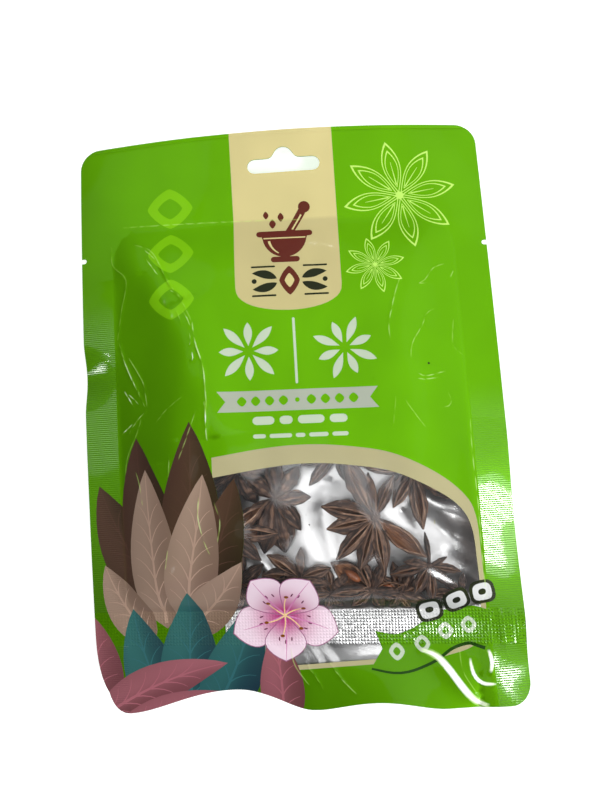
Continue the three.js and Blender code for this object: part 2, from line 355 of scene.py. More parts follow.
def near_line(x, y, line, reach):
    """Which points lie in the line's box, grown by the reach."""
    low, high = line.min(0) - reach, line.max(0) + reach
    return (x > low[0]) & (x < high[0]) & (y > low[1]) & (y < high[1])


def lines_relief(x, y, lines, profile):
    """Sum of each line's relief, worked out only near the line."""
    total = np.zeros(x.shape)
    for line, rise, width in lines:
        near = near_line(x, y, line, 6 * width)
        if near.any():
            distance, fade = from_line(x[near], y[near], line)
            total[near] += rise * fade * profile(distance / width)
    return total


# The film's slow waves, with their changes in turns for each millimetre
FILM_WAVES = (
    (0.10, 0.030, 0.012, 0.4),
    (0.06, -0.021, 0.036, 2.1),
    (0.03, 0.062, 0.026, 4.0),
    (0.012, 0.110, -0.034, 1.2),
)
SEALED_WAVES = 0.3  # how much of them the seals keep

# Where a side seal turns down towards its edge: (side, y, half length, slope)
SEAL_TURNS = [(1, -40.0, 30.0, 0.22), (1, -80.0, 16.0, 0.22), (-1, 14.0, 12.0, 0.22)]


def seal_turns(x, y):
    return -sum(
        slope * np.maximum(side * x - INNER_HALF_WIDTH + 1.0, 0) * hump(y - middle, half_length)
        for side, middle, half_length, slope in SEAL_TURNS
    )


def relief(x, y):
    """What the film has over the plain form of the solid."""
    opened = openness(x, y, FRONT_SLOPES)
    slow = waves(2 * math.pi * x, 2 * math.pi * y, FILM_WAVES)
    bumps = sum(rise * bell(np.hypot(x - bx, y - by) / reach) for bx, by, reach, rise in BUMPS)
    sharp = lines_relief(x, y, CREASE_LINES, lambda t: np.exp(-t))
    soft = lines_relief(x, y, FOLD_LINES, bell)
    return sharp + soft + opened * (bumps + slow) + SEALED_WAVES * slow + seal_turns(x, y)


# Embossing: small pyramids in the bottom seal and fine ribs across the side seals
BAND_PITCH = (0.94, 0.936)
BAND_RELIEF = (0.09, 0.13)
BAND_SCATTER = (12.9898, 78.233, 43758.5453)  # a common hash: turns a cell's column and row to a chance
RIB_PITCH = 0.64
RIB_RELIEF = 0.06
SEAL_FADES = {1: (-12.0, 6.0), -1: (22.0, 42.0)}  # by side: how far up the ribs are pressed in
HEADER_LINE = {"drop": 1.0, "depth": 0.10, "width": 0.35}


def pyramids(u, v):
    """Height of a field of unit pyramids, 0 along whole numbers and 1 between them."""
    du, dv = np.abs(u - np.floor(u) - 0.5), np.abs(v - np.floor(v) - 0.5)
    return 1 - 2 * np.maximum(du, dv)


def in_band(x, y):
    up = straightened(x, y)
    return (up < POUCH_BOTTOM + 1e-3) & (up > SEAL_BOTTOM - 1e-3)


def in_side_seal(x, y):
    return (np.abs(x) > INNER_HALF_WIDTH - 1e-3) & (y < POUCH_TOP) & ~in_band(x, y)


def pressed(x, y):
    """How well a side seal is pressed in: 1 at its foot, 0 where its ribs have faded out."""
    low, high = (np.where(x > 0, SEAL_FADES[1][k], SEAL_FADES[-1][k]) for k in (0, 1))
    return in_side_seal(x, y) * (1 - smoothstep(y, low, high))


def embossing(x, y):
    across, up = (x + HALF_WIDTH) / BAND_PITCH[0], (straightened(x, y) - SEAL_BOTTOM) / BAND_PITCH[1]
    by_column, by_row, spread = BAND_SCATTER
    chance = np.abs(np.sin(np.floor(across) * by_column + np.floor(up) * by_row) * spread) % 1.0
    cells = pyramids(across, up) * between(*BAND_RELIEF, chance)
    rows = (y + HALF_HEIGHT) / RIB_PITCH
    ribs = 2 * np.abs(rows - np.round(rows))
    return np.where(in_band(x, y), cells, RIB_RELIEF * ribs * pressed(x, y))


def front_plain(x, y):
    """The front film without its embossing."""
    bulge = between(LOWER_BULGE, UPPER_BULGE, smoothstep(y, *BULGE_CHANGE))
    base = seal_height(x, y) + SEALED_THICKNESS / 2 + bulge * openness(x, y, FRONT_SLOPES)
    from_header_line = (HALF_HEIGHT - HEADER_LINE["drop"] - y) / HEADER_LINE["width"]
    return base + relief(x, y) - HEADER_LINE["depth"] * bell(from_header_line)


def front_height(x, y):
    return front_plain(x, y) + embossing(x, y)


def flap_gap(x, y):
    """How far the two films of the flap stand apart."""
    along = np.clip((SEAL_BOTTOM - straightened(x, y)) / FLAP, 0, 1)
    gap = FLAP_GAP["mean"] + FLAP_GAP["change"] * np.sin(FLAP_GAP["wave"] * x + FLAP_GAP["phase"])
    return along * gap * (1 - hump(np.abs(x) - HALF_WIDTH, SIDE_SEAL))


# Folds in the lining where the window shows it: (points, rise, width)
LINING_FOLDS = [
    ([(28, -20), (38, -28), (46, -34), (56, -40)], 0.9, 2.4),
    ([(33, -32), (42, -38.5), (56, -47)], -0.9, 2.6),
    ([(38, -50), (46, -52), (56, -56)], 0.7, 2.2),
    ([(-22, -42), (-14, -45), (-8, -52)], 0.6, 1.8),
    ([(10, -22), (8, -36), (12, -52)], -0.5, 3.2),
    ([(1.5, -70.5), (3, -75), (6, -80)], 0.5, 1.1),
    ([(6.5, -70.5), (9.5, -75), (14, -80)], -0.5, 1.4),
    ([(14, -76), (20, -74.5), (30, -74)], 0.4, 1.6),
]
LINING_LINES = curved(LINING_FOLDS, 3.0)
LINING_WAVES = ((0.35, 0.19, 0.13, 0.0), (0.25, 0.09, -0.26, 1.0))
LINING_REST = 1.2  # its height where the pouch lies on the table


def lining_plain(x, y):
    """The bright inner side of the back film, without embossing."""
    opened = openness(x, y, BACK_SLOPES)
    rest = LINING_REST + waves(x, y, LINING_WAVES)
    sealed = seal_height(x, y) + SEALED_THICKNESS / 2 - flap_gap(x, y) + relief(x, y) * (1 - opened)
    height = between(sealed, rest, opened) + lines_relief(x, y, LINING_LINES, bell)
    return np.clip(np.minimum(height, front_plain(x, y)) - FILM - LAYER_GAP, 2.2 * FILM, None)


def lining_height(x, y):
    return lining_plain(x, y) + embossing(x, y)


def back_height(x, y):
    """The printed outer side of the back film, a little below the lining."""
    return np.maximum(lining_plain(x, y) - FILM, FILM)


# ---- Outlines ----
def arc(centre, radii, start, end, steps):
    angle = np.radians(np.linspace(start, end, steps + 1))
    return np.stack([centre[0] + radii[0] * np.cos(angle), centre[1] + radii[1] * np.sin(angle)], 1)


def bezier(a, b, c, steps):
    t = np.linspace(0, 1, steps + 1)[:, None]
    return (1 - t) ** 2 * np.array(a) + 2 * t * (1 - t) * np.array(b) + t**2 * np.array(c)


def joined(*parts):
    """One closed ring from stretches, without repeated points."""
    ring = np.vstack([np.atleast_2d(np.asarray(part, float)) for part in parts])
    step = np.linalg.norm(ring - np.roll(ring, 1, 0), axis=1)
    return ring[step > 1e-3]


def subdivided(ring, longest):
    """The same ring with no side longer than the given length."""
    sides = zip(ring, np.roll(ring, -1, 0))
    return np.array([a + (b - a) * t for a, b in sides for t in steps_between(a, b, longest)])


def bottom_edge(x):
    ripple = RIPPLE["inset"] * hump(x - RIPPLE["x"], RIPPLE["half_width"])
    return -HALF_HEIGHT + VALLEY["inset"] * valley_hump(x) + ripple


def tear_notch(side, y):
    """A round-ended cut into the right edge (side 1) on the way up, or into the left one on the way down."""
    radius = TEAR_NOTCHES["width"] / 2
    edge, end = side * HALF_WIDTH, side * (HALF_WIDTH - TEAR_NOTCHES["depth"] + radius)
    turn = arc((end, y), (radius, radius), -90 * side, -90 * side - 180, 8)
    return joined([(edge, y - side * radius)], turn, [(edge, y + side * radius)])


def pouch_outline():
    """The cut edge, from the bottom left corner round to it again."""
    w, h, r = HALF_WIDTH, HALF_HEIGHT, CORNER_RADIUS
    left = -w + TURNED_CORNER["inset"]
    along = np.linspace(left + r, w - r, 90)
    foot = bottom_edge(left + r)
    turned_from = -h + TURNED_CORNER["length"]
    return joined(
        np.stack([along, bottom_edge(along)], 1),
        arc((w - r, -h + r), (r, r), -90, 0, 8),
        tear_notch(1, TEAR_NOTCHES["right"]),
        arc((w - r, h - r), (r, r), 0, 90, 8),
        arc((-w + r, h - r), (r, r), 90, 180, 8),
        tear_notch(-1, TEAR_NOTCHES["left"]),
        bezier((-w, turned_from), (-w, turned_from - TURNED_CORNER["length"] / 2), (left, -h + r), 8),
        bezier((left, -h + r), (left + r / 4, foot), (left + r, foot), 8),
    )


def hang_hole():
    """A round-ended slot with a bump in the middle of its top: one half, and the same mirrored."""
    slot, half_bump, fillet = HANG_HOLE["slot"], HANG_HOLE["bump"] / 2, HANG_HOLE_FILLET
    end = slot / 2
    flank = (half_bump - fillet / 2, slot + fillet)
    top = slot + HANG_HOLE["rise"]
    half = joined(
        arc((HANG_HOLE["width"] / 2 - end, end), (end, end), -90, 90, 8),
        bezier((half_bump + fillet, slot), (half_bump, slot), flank, 4),
        bezier(flank, (half_bump / 2, top), (0, top), 5),
    )
    return joined(half, (half * (-1, 1))[::-1]) + (HANG_HOLE["centre"], HANG_HOLE["base"])


# ---- The print: closed rings with their paint, later ones over earlier ones ----
# How much painted shade darkens the ground's green, to the lower left and to the foot, and over which spans
GREEN_PAINTED_SHADE = 0.34
GREEN_SHADE_SPAN = (8.0, 55.0)  # painted shade grows along the way to the lower left
FOOT_PAINTED_SHADE = 0.3
FOOT_SHADE_SPAN = (25.0, 62.0)  # painted shade grows downwards
CLEAR = "clear"  # the paint of what isn't printed, where the film is see-through


def shaded_green(points):
    """The ground's green, darkened by painted shade towards the lower left and the foot."""
    x, y = points.T
    left = 1 - GREEN_PAINTED_SHADE * smoothstep(-x - 0.4 * y, *GREEN_SHADE_SPAN)
    return linear(GREEN) * (left * (1 - FOOT_PAINTED_SHADE * smoothstep(-y, *FOOT_SHADE_SPAN)))[:, None]


def cream(points):
    """The tab's cream, made a little greyer by painted shade below the header's seal, where the film is
    loose.
    """
    loose = smoothstep(POUCH_TOP - points[:, 1], 0.0, 1.0)[:, None]
    return between(linear(CREAM), linear(SHADED_CREAM), loose)


def skewed(ring):
    ring = np.asarray(ring, float)
    return np.stack([ring[:, 0], ring[:, 1] + PRINT_SKEW * (ring[:, 0] - PRINT_CENTRE)], 1)


def normals_of(line):
    along = np.gradient(np.asarray(line, float), axis=0)
    along /= np.linalg.norm(along, axis=1)[:, None]
    return np.stack([-along[:, 1], along[:, 0]], 1)


def band(line, half_widths):
    """A ring of changing width along an open line."""
    line = np.asarray(line, float)
    offset = normals_of(line) * np.reshape(half_widths, (-1, 1))
    return joined(line + offset, (line - offset)[::-1])


def tapered(line, start, end):
    """A ring along an open line whose half-width changes from start to end."""
    return band(line, np.linspace(start, end, len(line)))


def leaf_line(base, tip, bend, steps=14):
    base, tip = np.array(base, float), np.array(tip, float)
    side = np.array([base[1] - tip[1], tip[0] - base[0]]) / np.linalg.norm(tip - base)
    return bezier(base, (base + tip) / 2 + bend * side, tip, steps)


def leaf_profile(u, fullness=0.75):
    """A leaf's width along it, widest towards its base below a fullness of 1."""
    return np.sin(math.pi * u**fullness) ** 0.85


def leaf_ring(base, tip, half_width, bend=0.0, fullness=0.75, steps=14):
    """A leaf or petal, pointed at both ends."""
    widths = half_width * leaf_profile(np.linspace(0, 1, steps + 1), fullness)
    return band(leaf_line(base, tip, bend, steps), np.maximum(widths, 0.02))


def leaf_paint(base, tip, half_width, bend, colours):
    """Dark on one side of the midrib and light on the other, lighter towards the tip."""
    base, tip = np.array(base, float), np.array(tip, float)
    length = np.linalg.norm(tip - base)
    along = (tip - base) / length

    def paint(points):
        u = (points - base) @ along / length
        v = (points - base) @ (-along[1], along[0]) - 2 * u * (1 - u) * bend
        side = 0.5 + 0.5 * np.tanh(v / (0.3 * half_width))
        rim = np.clip(np.abs(v) / half_width, 0, 1)
        share = np.clip(0.15 + 0.6 * side - 0.25 * rim + 0.35 * u, 0, 1)[:, None]
        return between(*map(linear, colours), share)

    return paint


def leaf(base, tip, half_width, bend, colours, veins):
    """A blade with a midrib and side veins."""
    steps, first, last, span = 28, 3, 22, 4
    line = leaf_line(base, tip, bend, steps)
    vein = tuple(between(min(1.25 * light, 255), dark, 0.35) for dark, light in zip(*colours))
    yield leaf_ring(base, tip, half_width, bend), leaf_paint(base, tip, half_width, bend, colours)
    yield tapered(line[1:-1], 0.5, 0.12), vein
    sideways = normals_of(line)
    for number in range(veins):
        start = first + number * (last - first) // veins
        forward = line[start + span] - line[start]
        reach = 0.78 * half_width * leaf_profile((start + span) / steps)
        for out in (-reach * sideways[start], reach * sideways[start]):
            bulge = line[start] + 0.75 * forward + 0.35 * out
            yield tapered(bezier(line[start], bulge, line[start] + forward + out, 4), 0.22, 0.05), vein


def lozenge(centre, half_size, power=1.25, steps=28, turn=0.0):
    """A rounded diamond; a power of 2 is an ellipse and 4 a rounded square."""
    angle = np.linspace(0, 2 * math.pi, steps, endpoint=False)
    way = np.stack([np.cos(angle), np.sin(angle)], 1)
    ring = np.sign(way) * np.abs(way) ** (2 / power) * half_size
    cos, sin = unit(turn)
    return ring @ np.array([[cos, sin], [-sin, cos]]) + centre


def disc(centre, radius, steps=12):
    return lozenge(centre, (radius, radius), 2, steps)


def capsule(start, end, radius):
    """A bar with round ends."""
    start, end = np.array(start, float), np.array(end, float)
    heading = math.degrees(math.atan2(*(end - start)[::-1]))
    return joined(
        arc(end, (radius, radius), heading - 90, heading + 90, 5),
        arc(start, (radius, radius), heading + 90, heading + 270, 5),
    )


def swallowtail(left, right, y, half_height, notch):
    """A level ribbon with a notch in each end."""
    top, bottom = y + half_height, y - half_height
    return np.array(
        [(left, top), (right, top), (right - notch, y), (right, bottom), (left, bottom), (left + notch, y)]
    )


def star_drawing(centre, radius, turn, stroke):
    """An eight-pointed star anise in line: a double outline for each petal."""
    for k in range(8):
        way = unit(turn + 45 * k)
        for inset, colour in ((0, LINE_GREEN), (0.75, shaded_green), (2.1, LINE_GREEN), (2.65, shaded_green)):
            width = 0.158 * radius - inset * stroke
            if width > 0.15:
                base = centre + way * (0.04 * radius + 2.2 * inset * stroke)
                tip = centre + way * (radius - 3.2 * inset * stroke)
                yield leaf_ring(base, tip, width, 0.0, 1.15, 12), colour
        yield tapered(centre + np.outer((0.2, 0.62), radius * way), 0.5 * stroke, 0.15 * stroke), LINE_GREEN
    yield disc(centre, 0.07 * radius), LINE_GREEN


def star_icon(centre, radius, turn):
    """The same star as a solid sign."""
    for k in range(8):
        way = unit(turn + 45 * k)
        tip = centre + way * radius * (1.0 if k % 2 else 0.86)
        yield leaf_ring(centre + 1.7 * way, tip, 0.125 * radius, 0.0, 1.2, 10), PALE_GREY


def dashes(left, right, y, half_height, shares, gap, colour):
    """A line of plain bars in place of words."""
    room = right - left - gap * (len(shares) - 1)
    x = left
    for share in shares:
        width = room * share / sum(shares)
        yield capsule((x + half_height, y), (x + width - half_height, y), half_height), colour
        x += width + gap


def tab():
    left, right, corner, bottom, top = -14.6, 18.4, 38.0, 30.1, HALF_HEIGHT + 3
    drop = corner - bottom
    sag = arc(((left + right) / 2, corner), ((right - left) / 2, drop), 180, 360, 20)
    flatter = np.stack([sag[:, 0], corner - (corner - sag[:, 1]) ** 0.8 * drop**0.2], 1)
    yield subdivided(joined([(left, top)], flatter, [(right, top)]), 2.0), cream


def mortar():
    """A mortar and pestle, about the middle of its rim, with three grains."""
    yield capsule((1.2, 0.5), (6.4, 9.2), 1.25), MAROON
    yield disc((6.7, 9.7), 1.9, 16), MAROON
    yield tapered(bezier((2.6, 2.2), (4.0, 4.6), (5.6, 7.2), 4), 0.25, 0.25), CREAM
    yield joined([(-7.4, 0.4), (7.4, 0.4)], arc((0, 0.2), (7.0, 7.4), -8, -172, 16)), MAROON
    yield capsule((-7.9, 0.9), (7.9, 0.9), 1.0), MAROON
    yield capsule((-3.6, -8.0), (3.6, -8.0), 0.95), MAROON
    yield tapered([(-6.6, -0.6), (6.6, -0.6)], 0.22, 0.22), CREAM
    yield tapered(bezier((-4.9, -1.6), (-4.4, -4.2), (-2.0, -5.8), 8), 0.4, 0.15), CREAM
    for x, y, size in ((-3.6, 4.4, (1.1, 1.6)), (-0.9, 6.6, (1.0, 1.5)), (-5.6, 7.4, (0.9, 1.3))):
        yield lozenge((x, y), size, 1.4, 12), MAROON


def flourish():
    """A diamond between pairs of slim leaves, under and over a fine rule."""
    yield lozenge((0, 0), (3.2, 4.7), 1.3), MAROON
    yield lozenge((0, 0), (1.5, 2.3), 1.3, 16), CREAM
    for side in (-1, 1):
        yield disc((side * 11.0, 0), 0.8), BLACK
        for lift in (-1, 1):
            base, tip = (side * 3.9, lift * 0.7), (side * 11.6, lift * 2.6)
            yield leaf_ring(base, tip, 1.35, side * lift * 1.1, 0.9, 12), BLACK
            yield capsule((side * 4.6, lift * 4.7), (side * 11.6, lift * 4.7), 0.3), BLACK


def moved(shapes, centre):
    return [(ring + centre, paint) for ring, paint in shapes]


def titles():
    """The signs in the middle of the pack: two stars, a ribbon and bars."""
    yield from star_icon((-11.4, 17.6), 10.6, 0)
    yield from star_icon((18.0, 17.6), 10.2, 22.5)
    yield capsule((2.85, 27.3), (2.85, 7.4), 0.4), PALE_GREY
    left, right, middle, margin = -21.6, 27.0, 2.05, 7.4
    yield swallowtail(left, right, middle, 3.2, 2.5), RIBBON_GREY
    for k, x in enumerate(np.linspace(left + margin, right - margin, 9)):
        size, power = (0.7, 2) if k == 4 else (1.45, 1.5)
        yield lozenge((x, middle), (size, size * 1.05), power, 14), shaded_green
    yield from dashes(-11.2, 17.4, -4.0, 1.25, (5, 3, 6, 4), 1.5, PALE_GREY)
    yield from dashes(-11.2, 17.4, -8.7, 0.62, (4, 7, 3, 6, 5), 1.1, PALE_GREY)


def tone_diamonds():
    """Three open diamonds in a slightly lighter green, down the left side."""
    for y in (66.0, 50.6, 35.2):
        yield lozenge((-35.0, y), (7.4, 6.6), 1.35), PALE_GREEN
        yield lozenge((-35.0, y), (4.0, 3.4), 1.35), shaded_green


# The window's arch and its cream border, from the left round to the bottom left
ARCH_OUTER = [
    *[(-24, -14.6), (-8, -12.3), (4.5, -11.6), (17, -12.5), (29.7, -15.0), (42.4, -21.2), (50.4, -27.8)],
    *[(53.4, -34.0), (54.0, -45.0), (53.9, -62.0), (50.6, -71.0), (40.8, -74.6), (29.0, -76.1)],
    *[(7.3, -77.8), (-24, -80.0)],
]
ARCH_INNER = [
    *[(-24, -20.6), (-8, -18.2), (4.5, -17.2), (17, -18.1), (29.7, -20.5), (42.4, -26.6), (49.0, -31.8)],
    *[(51.8, -37.6), (52.5, -46.0), (52.5, -61.5), (49.2, -69.9), (40.4, -73.3), (29.0, -74.8)],
    *[(7.3, -76.4), (-24, -78.6)],
]

# The spray of leaves: base, tip, half-width, bend, colours, veins
LEAVES = [
    ((-40, -60), (-61.5, -22), 9, 5, DARK_BROWN, 6),
    ((-38, -58), (-48.5, -7.5), 9.5, 4.5, DARK_BROWN, 7),
    ((-34, -58), (-30.5, -3.5), 9.5, -2, DARK_BROWN, 7),
    ((-33, -60), (-17.6, -21), 8, -4, DARK_BROWN, 6),
    ((-42, -66), (-45.5, -17.5), 8.2, 1, TAUPE, 6),
    ((-36, -66), (-27, -19.5), 8.2, -1, TAUPE, 6),
    ((-38, -68), (-16.6, -45.5), 6.6, -3.5, TAUPE, 5),
    ((-46, -70), (-60.8, -46.5), 6.4, 3.5, TAUPE, 5),
    ((-40, -95), (-52.6, -60), 8.6, 4, TEAL, 5),
    ((-36, -96), (-34, -54.5), 9.4, 1, TEAL, 6),
    ((-32, -95), (-14.5, -57.5), 8.8, -4.5, TEAL, 5),
    ((-68, -96), (-66, -61.5), 8.6, -4, MAUVE, 5),
    ((-66, -94), (-24, -76.5), 6.6, 5, MAUVE, 6),
    ((-60, -97), (-14, -88.5), 6, 4, MAUVE, 5),
    ((-8, -97), (-9.5, -66.5), 6.8, -2, MAUVE, 5),
]


def petal_paint(centre, reach):
    def paint(points):
        share = smoothstep(np.linalg.norm(points - centre, axis=1) / reach, 0.05, 0.8)[:, None]
        return between(*map(linear, PINK), share)

    return paint


def blossom(centre, radius):
    """An open flower with five round petals, dark dots and stamens."""
    centre = np.array(centre)
    for turn, length in ((198, 1.0), (342, 0.98), (128, 0.86), (52, 0.84), (268, 0.8)):
        way, width = unit(turn), 0.36 * radius
        tip, side = centre + way * radius * length, np.array([-way[1], way[0]])
        yield leaf_ring(centre - 0.5 * way, tip, width * 1.04, 0.0, 1.35), PETAL_RIM
        yield leaf_ring(centre, tip - 0.3 * way, width, 0.0, 1.35), petal_paint(centre, radius * length)
        for step in (-1, 0, 1):
            spot = centre + radius * (way * (0.46 - 0.05 * abs(step)) + side * step * 0.11)
            yield lozenge(spot, (0.65, 0.22), 2, 10, turn), PETAL_SPOT
        yield tapered(leaf_line(centre, centre + way * 0.8 * radius, 0.6), 0.3, 0.05), PETAL_VEIN
    for turn in range(20, 380, 60):
        end = centre + 0.36 * radius * unit(turn)
        yield tapered(leaf_line(centre, end, 0.8), 0.2, 0.14), STAMEN
        yield lozenge(end, (0.7, 0.45), 2, 10), STAMEN_TIP


BANNER_LINE = [(20.4, -72.6), (27.5, -73.6), (34.5, -71.4), (41.5, -67.2), (48.5, -65.4), (54.5, -67.0)]


def banner():
    """A waving ribbon at the lower right, with a dark lower edge and plain signs."""
    line = smooth_curve(BANNER_LINE, 1.5)
    up = normals_of(line)
    yield tapered(line - 5.6 * up, 0.3, 0.6), BANNER_EDGE
    yield joined(line + 5.2 * up, (line - 5.2 * up)[::-1], [line[0] + (2.6, 0)]), shaded_green
    for centre in ((27.2, -73.3), (34.8, -71.1), (41.8, -67.4), (48.6, -65.7)):
        yield lozenge(centre, (2.3, 2.5), 1.5, 18), PALE_GREY
        yield lozenge(centre, (1.1, 1.2), 1.5, 14), shaded_green
    for centre, turn in (((37.6, -61.3), 14), ((45.4, -58.3), 22), ((53.2, -56.3), 8)):
        for size, colour in ((3.9, BLACK), (2.9, BOX_WHITE)):
            yield lozenge(centre, (size, 0.86 * size), 3.2, 24, turn), colour
        yield lozenge(centre, (1.2, 0.9), 2.4, 14, turn), BLACK


SPECK = (43.0, 11.9)


def front_print():
    yield from tab()
    yield from star_drawing((38.7, 67.2), 18.2, 11, 0.42)
    yield from star_drawing((29.1, 43.6), 9.4, 13, 0.26)
    yield from tone_diamonds()
    yield from moved(mortar(), (1.4, 54.6))
    yield from moved(flourish(), (2.4, 39.6))
    yield from titles()
    yield smooth_curve(ARCH_OUTER, 2.0), ARCH_CREAM
    yield smooth_curve(ARCH_INNER, 2.0), CLEAR
    for row in LEAVES:
        yield from leaf(*row)
    yield from blossom((-5.5, -62.5), 17.0)
    yield from banner()
    yield disc(SPECK, 0.35, 10), BLACK


def back_print():
    """The plain hidden side: a cream panel with bars in place of words, and a row of diamonds."""
    yield subdivided(joined([(-42, -46), (42, -46), (42, 50), (-42, 50)]), BACK_STEP), CREAM
    for k in range(8):
        shares = [3 + (5 * k + 3 * j) % 5 for j in range(4)]
        yield from dashes(-36, 36, 24 - 7 * k, 0.9, shares, 2.0, BACK_BARS)
    for x in range(-33, 34, 11):
        yield lozenge((x, 39), (3.6, 4.4), 1.35), BACK_DIAMONDS
        yield lozenge((x, 39), (1.8, 2.2), 1.35, 16), CREAM


# ---- Meshes ----
FRONT_SPACING = 1.3  # between a mesh's points where no line or ring asks for any
BACK_SPACING = 1.4
ROW_SPACING = 0.866  # of rows of such points, as a share of their spacing
POINT_CLEARANCE = 0.45  # of those points from the lines and rings
PRINT_STEP = 1.6  # longest side of a printed ring
BACK_STEP = 4.0
OUTLINE = subdivided(pouch_outline(), FRONT_SPACING)
HOLE = hang_hole()
WINDOW_LEFT = -30.0  # the lining is embossed to the right of here


def inside(points, ring):
    """Which of the points lie in a ring."""
    result = np.zeros(len(points), bool)
    near = np.flatnonzero(np.all((points > ring.min(0)) & (points < ring.max(0)), axis=1))
    x, y = points[near].T
    odd = np.zeros(len(near), bool)
    for (ax, ay), (bx, by) in zip(ring, np.roll(ring, -1, 0)):
        if ay != by:
            odd ^= ((ay > y) != (by > y)) & (x < ax + (bx - ax) * (y - ay) / (by - ay))
    result[near] = odd
    return result


def clear_of(points, taken, reach):
    """The points that share no square of the given size with a taken one."""
    squares = {tuple(square) for square in np.floor(taken / reach).astype(int)}
    keep = [tuple(square) not in squares for square in np.floor(points / reach).astype(int)]
    return points[np.array(keep)]


def triangulated(rings, lines, loose):
    """Flat triangles with an edge along every ring and line and a vertex at every loose point."""
    points, edges = [], []
    for line, closed in [(ring, True) for ring in rings] + [(line, False) for line in lines]:
        first, count = len(points), len(line)
        points.extend(line)
        edges.extend((first + i, first + i + 1) for i in range(count - 1))
        if closed:
            edges.append((first + count - 1, first))
    spread = clear_of(loose, np.array(points), POINT_CLEARANCE)
    flat = [Vector(point) for point in [*points, *spread]]
    flat, _, faces, *_ = delaunay_2d_cdt(flat, edges, [], 0, 1e-4)
    return np.array(flat), np.array(faces)


def film_mesh(rings, lines, middles, spacing):
    """Flat triangles over the pouch, less its hang hole, and their middles."""
    rows = np.arange(-HALF_HEIGHT, HALF_HEIGHT, spacing * ROW_SPACING)
    columns = np.arange(-HALF_WIDTH, HALF_WIDTH, spacing)
    spread = [(x + 0.5 * spacing * (row % 2), y) for row, y in enumerate(rows) for x in columns]
    flat, faces = triangulated([OUTLINE, HOLE, *rings], lines, np.vstack([*middles, spread]))
    middles = flat[faces].mean(1)
    kept = inside(middles, OUTLINE) & ~inside(middles, HOLE)
    return flat, faces[kept], middles[kept]


def band_lattice(left, right):
    """The bottom seal's cells as lines along both of their sides, and their middles."""
    step, rise = BAND_PITCH
    columns = np.arange(math.ceil((left + HALF_WIDTH) / step), math.floor((right + HALF_WIDTH) / step) + 1)
    x = -HALF_WIDTH + columns * step
    y = SEAL_BOTTOM + np.arange(round(SEAL_BAND / rise) + 1) * rise
    across = [skewed([(value, level) for value in x]) for level in y]
    along = [skewed([(value, level) for level in y]) for value in x]
    middles = skewed([(a + step / 2, b + rise / 2) for a in x[:-1] for b in y[:-1]])
    return across + along, middles


def rib_lines():
    """The ribs' crests and valleys as lines across both side seals."""
    lines = []
    for left in (-HALF_WIDTH, INNER_HALF_WIDTH):
        x = np.linspace(left, left + SIDE_SEAL, 9)
        for half_row in range(2 * int(HEIGHT / RIB_PITCH)):
            lines.append(np.stack([x, np.full(9, -HALF_HEIGHT + (half_row + 1) * RIB_PITCH / 2)], 1))
    return lines


def header_lines():
    """Rows of points along the pressed line just under the top edge."""
    across = np.linspace(CORNER_RADIUS - HALF_WIDTH, HALF_WIDTH - CORNER_RADIUS, 91)
    rows = HALF_HEIGHT - HEADER_LINE["drop"] + HEADER_LINE["width"] * np.array([-1.6, -0.8, 0, 0.8, 1.6])
    return [np.column_stack([across, np.full(len(across), row)]) for row in rows]


def crease_lines():
    """Each crease with lines beside it, closer together where it is wide."""
    lines = []
    for line, _, width in CREASE_LINES:
        offset = mark_half_width(width) * normals_of(line)
        beside = (-0.6, -0.3, 0.3, 0.6) if width > 0.7 else (-2, 2)
        lines += [line + side * offset for side in (-1, 0, 1, *beside)]
    return lines


def slope_normals(height, x, y, step=0.12):
    """The upward normals of a height function."""
    dx = (height(x + step, y) - height(x - step, y)) / (2 * step)
    dy = (height(x, y + step) - height(x, y - step)) / (2 * step)
    normals = np.column_stack([-dx, -dy, np.ones(len(x))])
    return normals / np.linalg.norm(normals, axis=1)[:, None]


def face_normals(points, faces):
    a, b, c = (points[faces[:, k]] for k in range(3))
    normals = np.cross(b - a, c - a)
    return normals / np.maximum(np.linalg.norm(normals, axis=1), 1e-12)[:, None]


def linked(name, data):
    """A new object in the scene."""
    made = bpy.data.objects.new(name, data)
    bpy.context.collection.objects.link(made)
    return made


def new_piece(name, points, faces, materials, normals=None, slots=None):
    """A mesh object, from points in millimetres and triangles."""
    mesh = bpy.data.meshes.new(name)
    mesh.vertices.add(len(points))
    mesh.vertices.foreach_set("co", (np.asarray(points) * MM).ravel())
    mesh.loops.add(faces.size)
    mesh.loops.foreach_set("vertex_index", faces.ravel())
    mesh.polygons.add(len(faces))
    mesh.polygons.foreach_set("loop_start", np.arange(0, faces.size, 3))
    if slots is not None:
        mesh.polygons.foreach_set("material_index", slots)
    mesh.update(calc_edges=True)
    mesh.polygons.foreach_set("use_smooth", np.ones(len(faces), bool))
    for material in materials:
        mesh.materials.append(material)
    if normals is not None:
        mesh.normals_split_custom_set(normals)
    return linked(name, mesh)


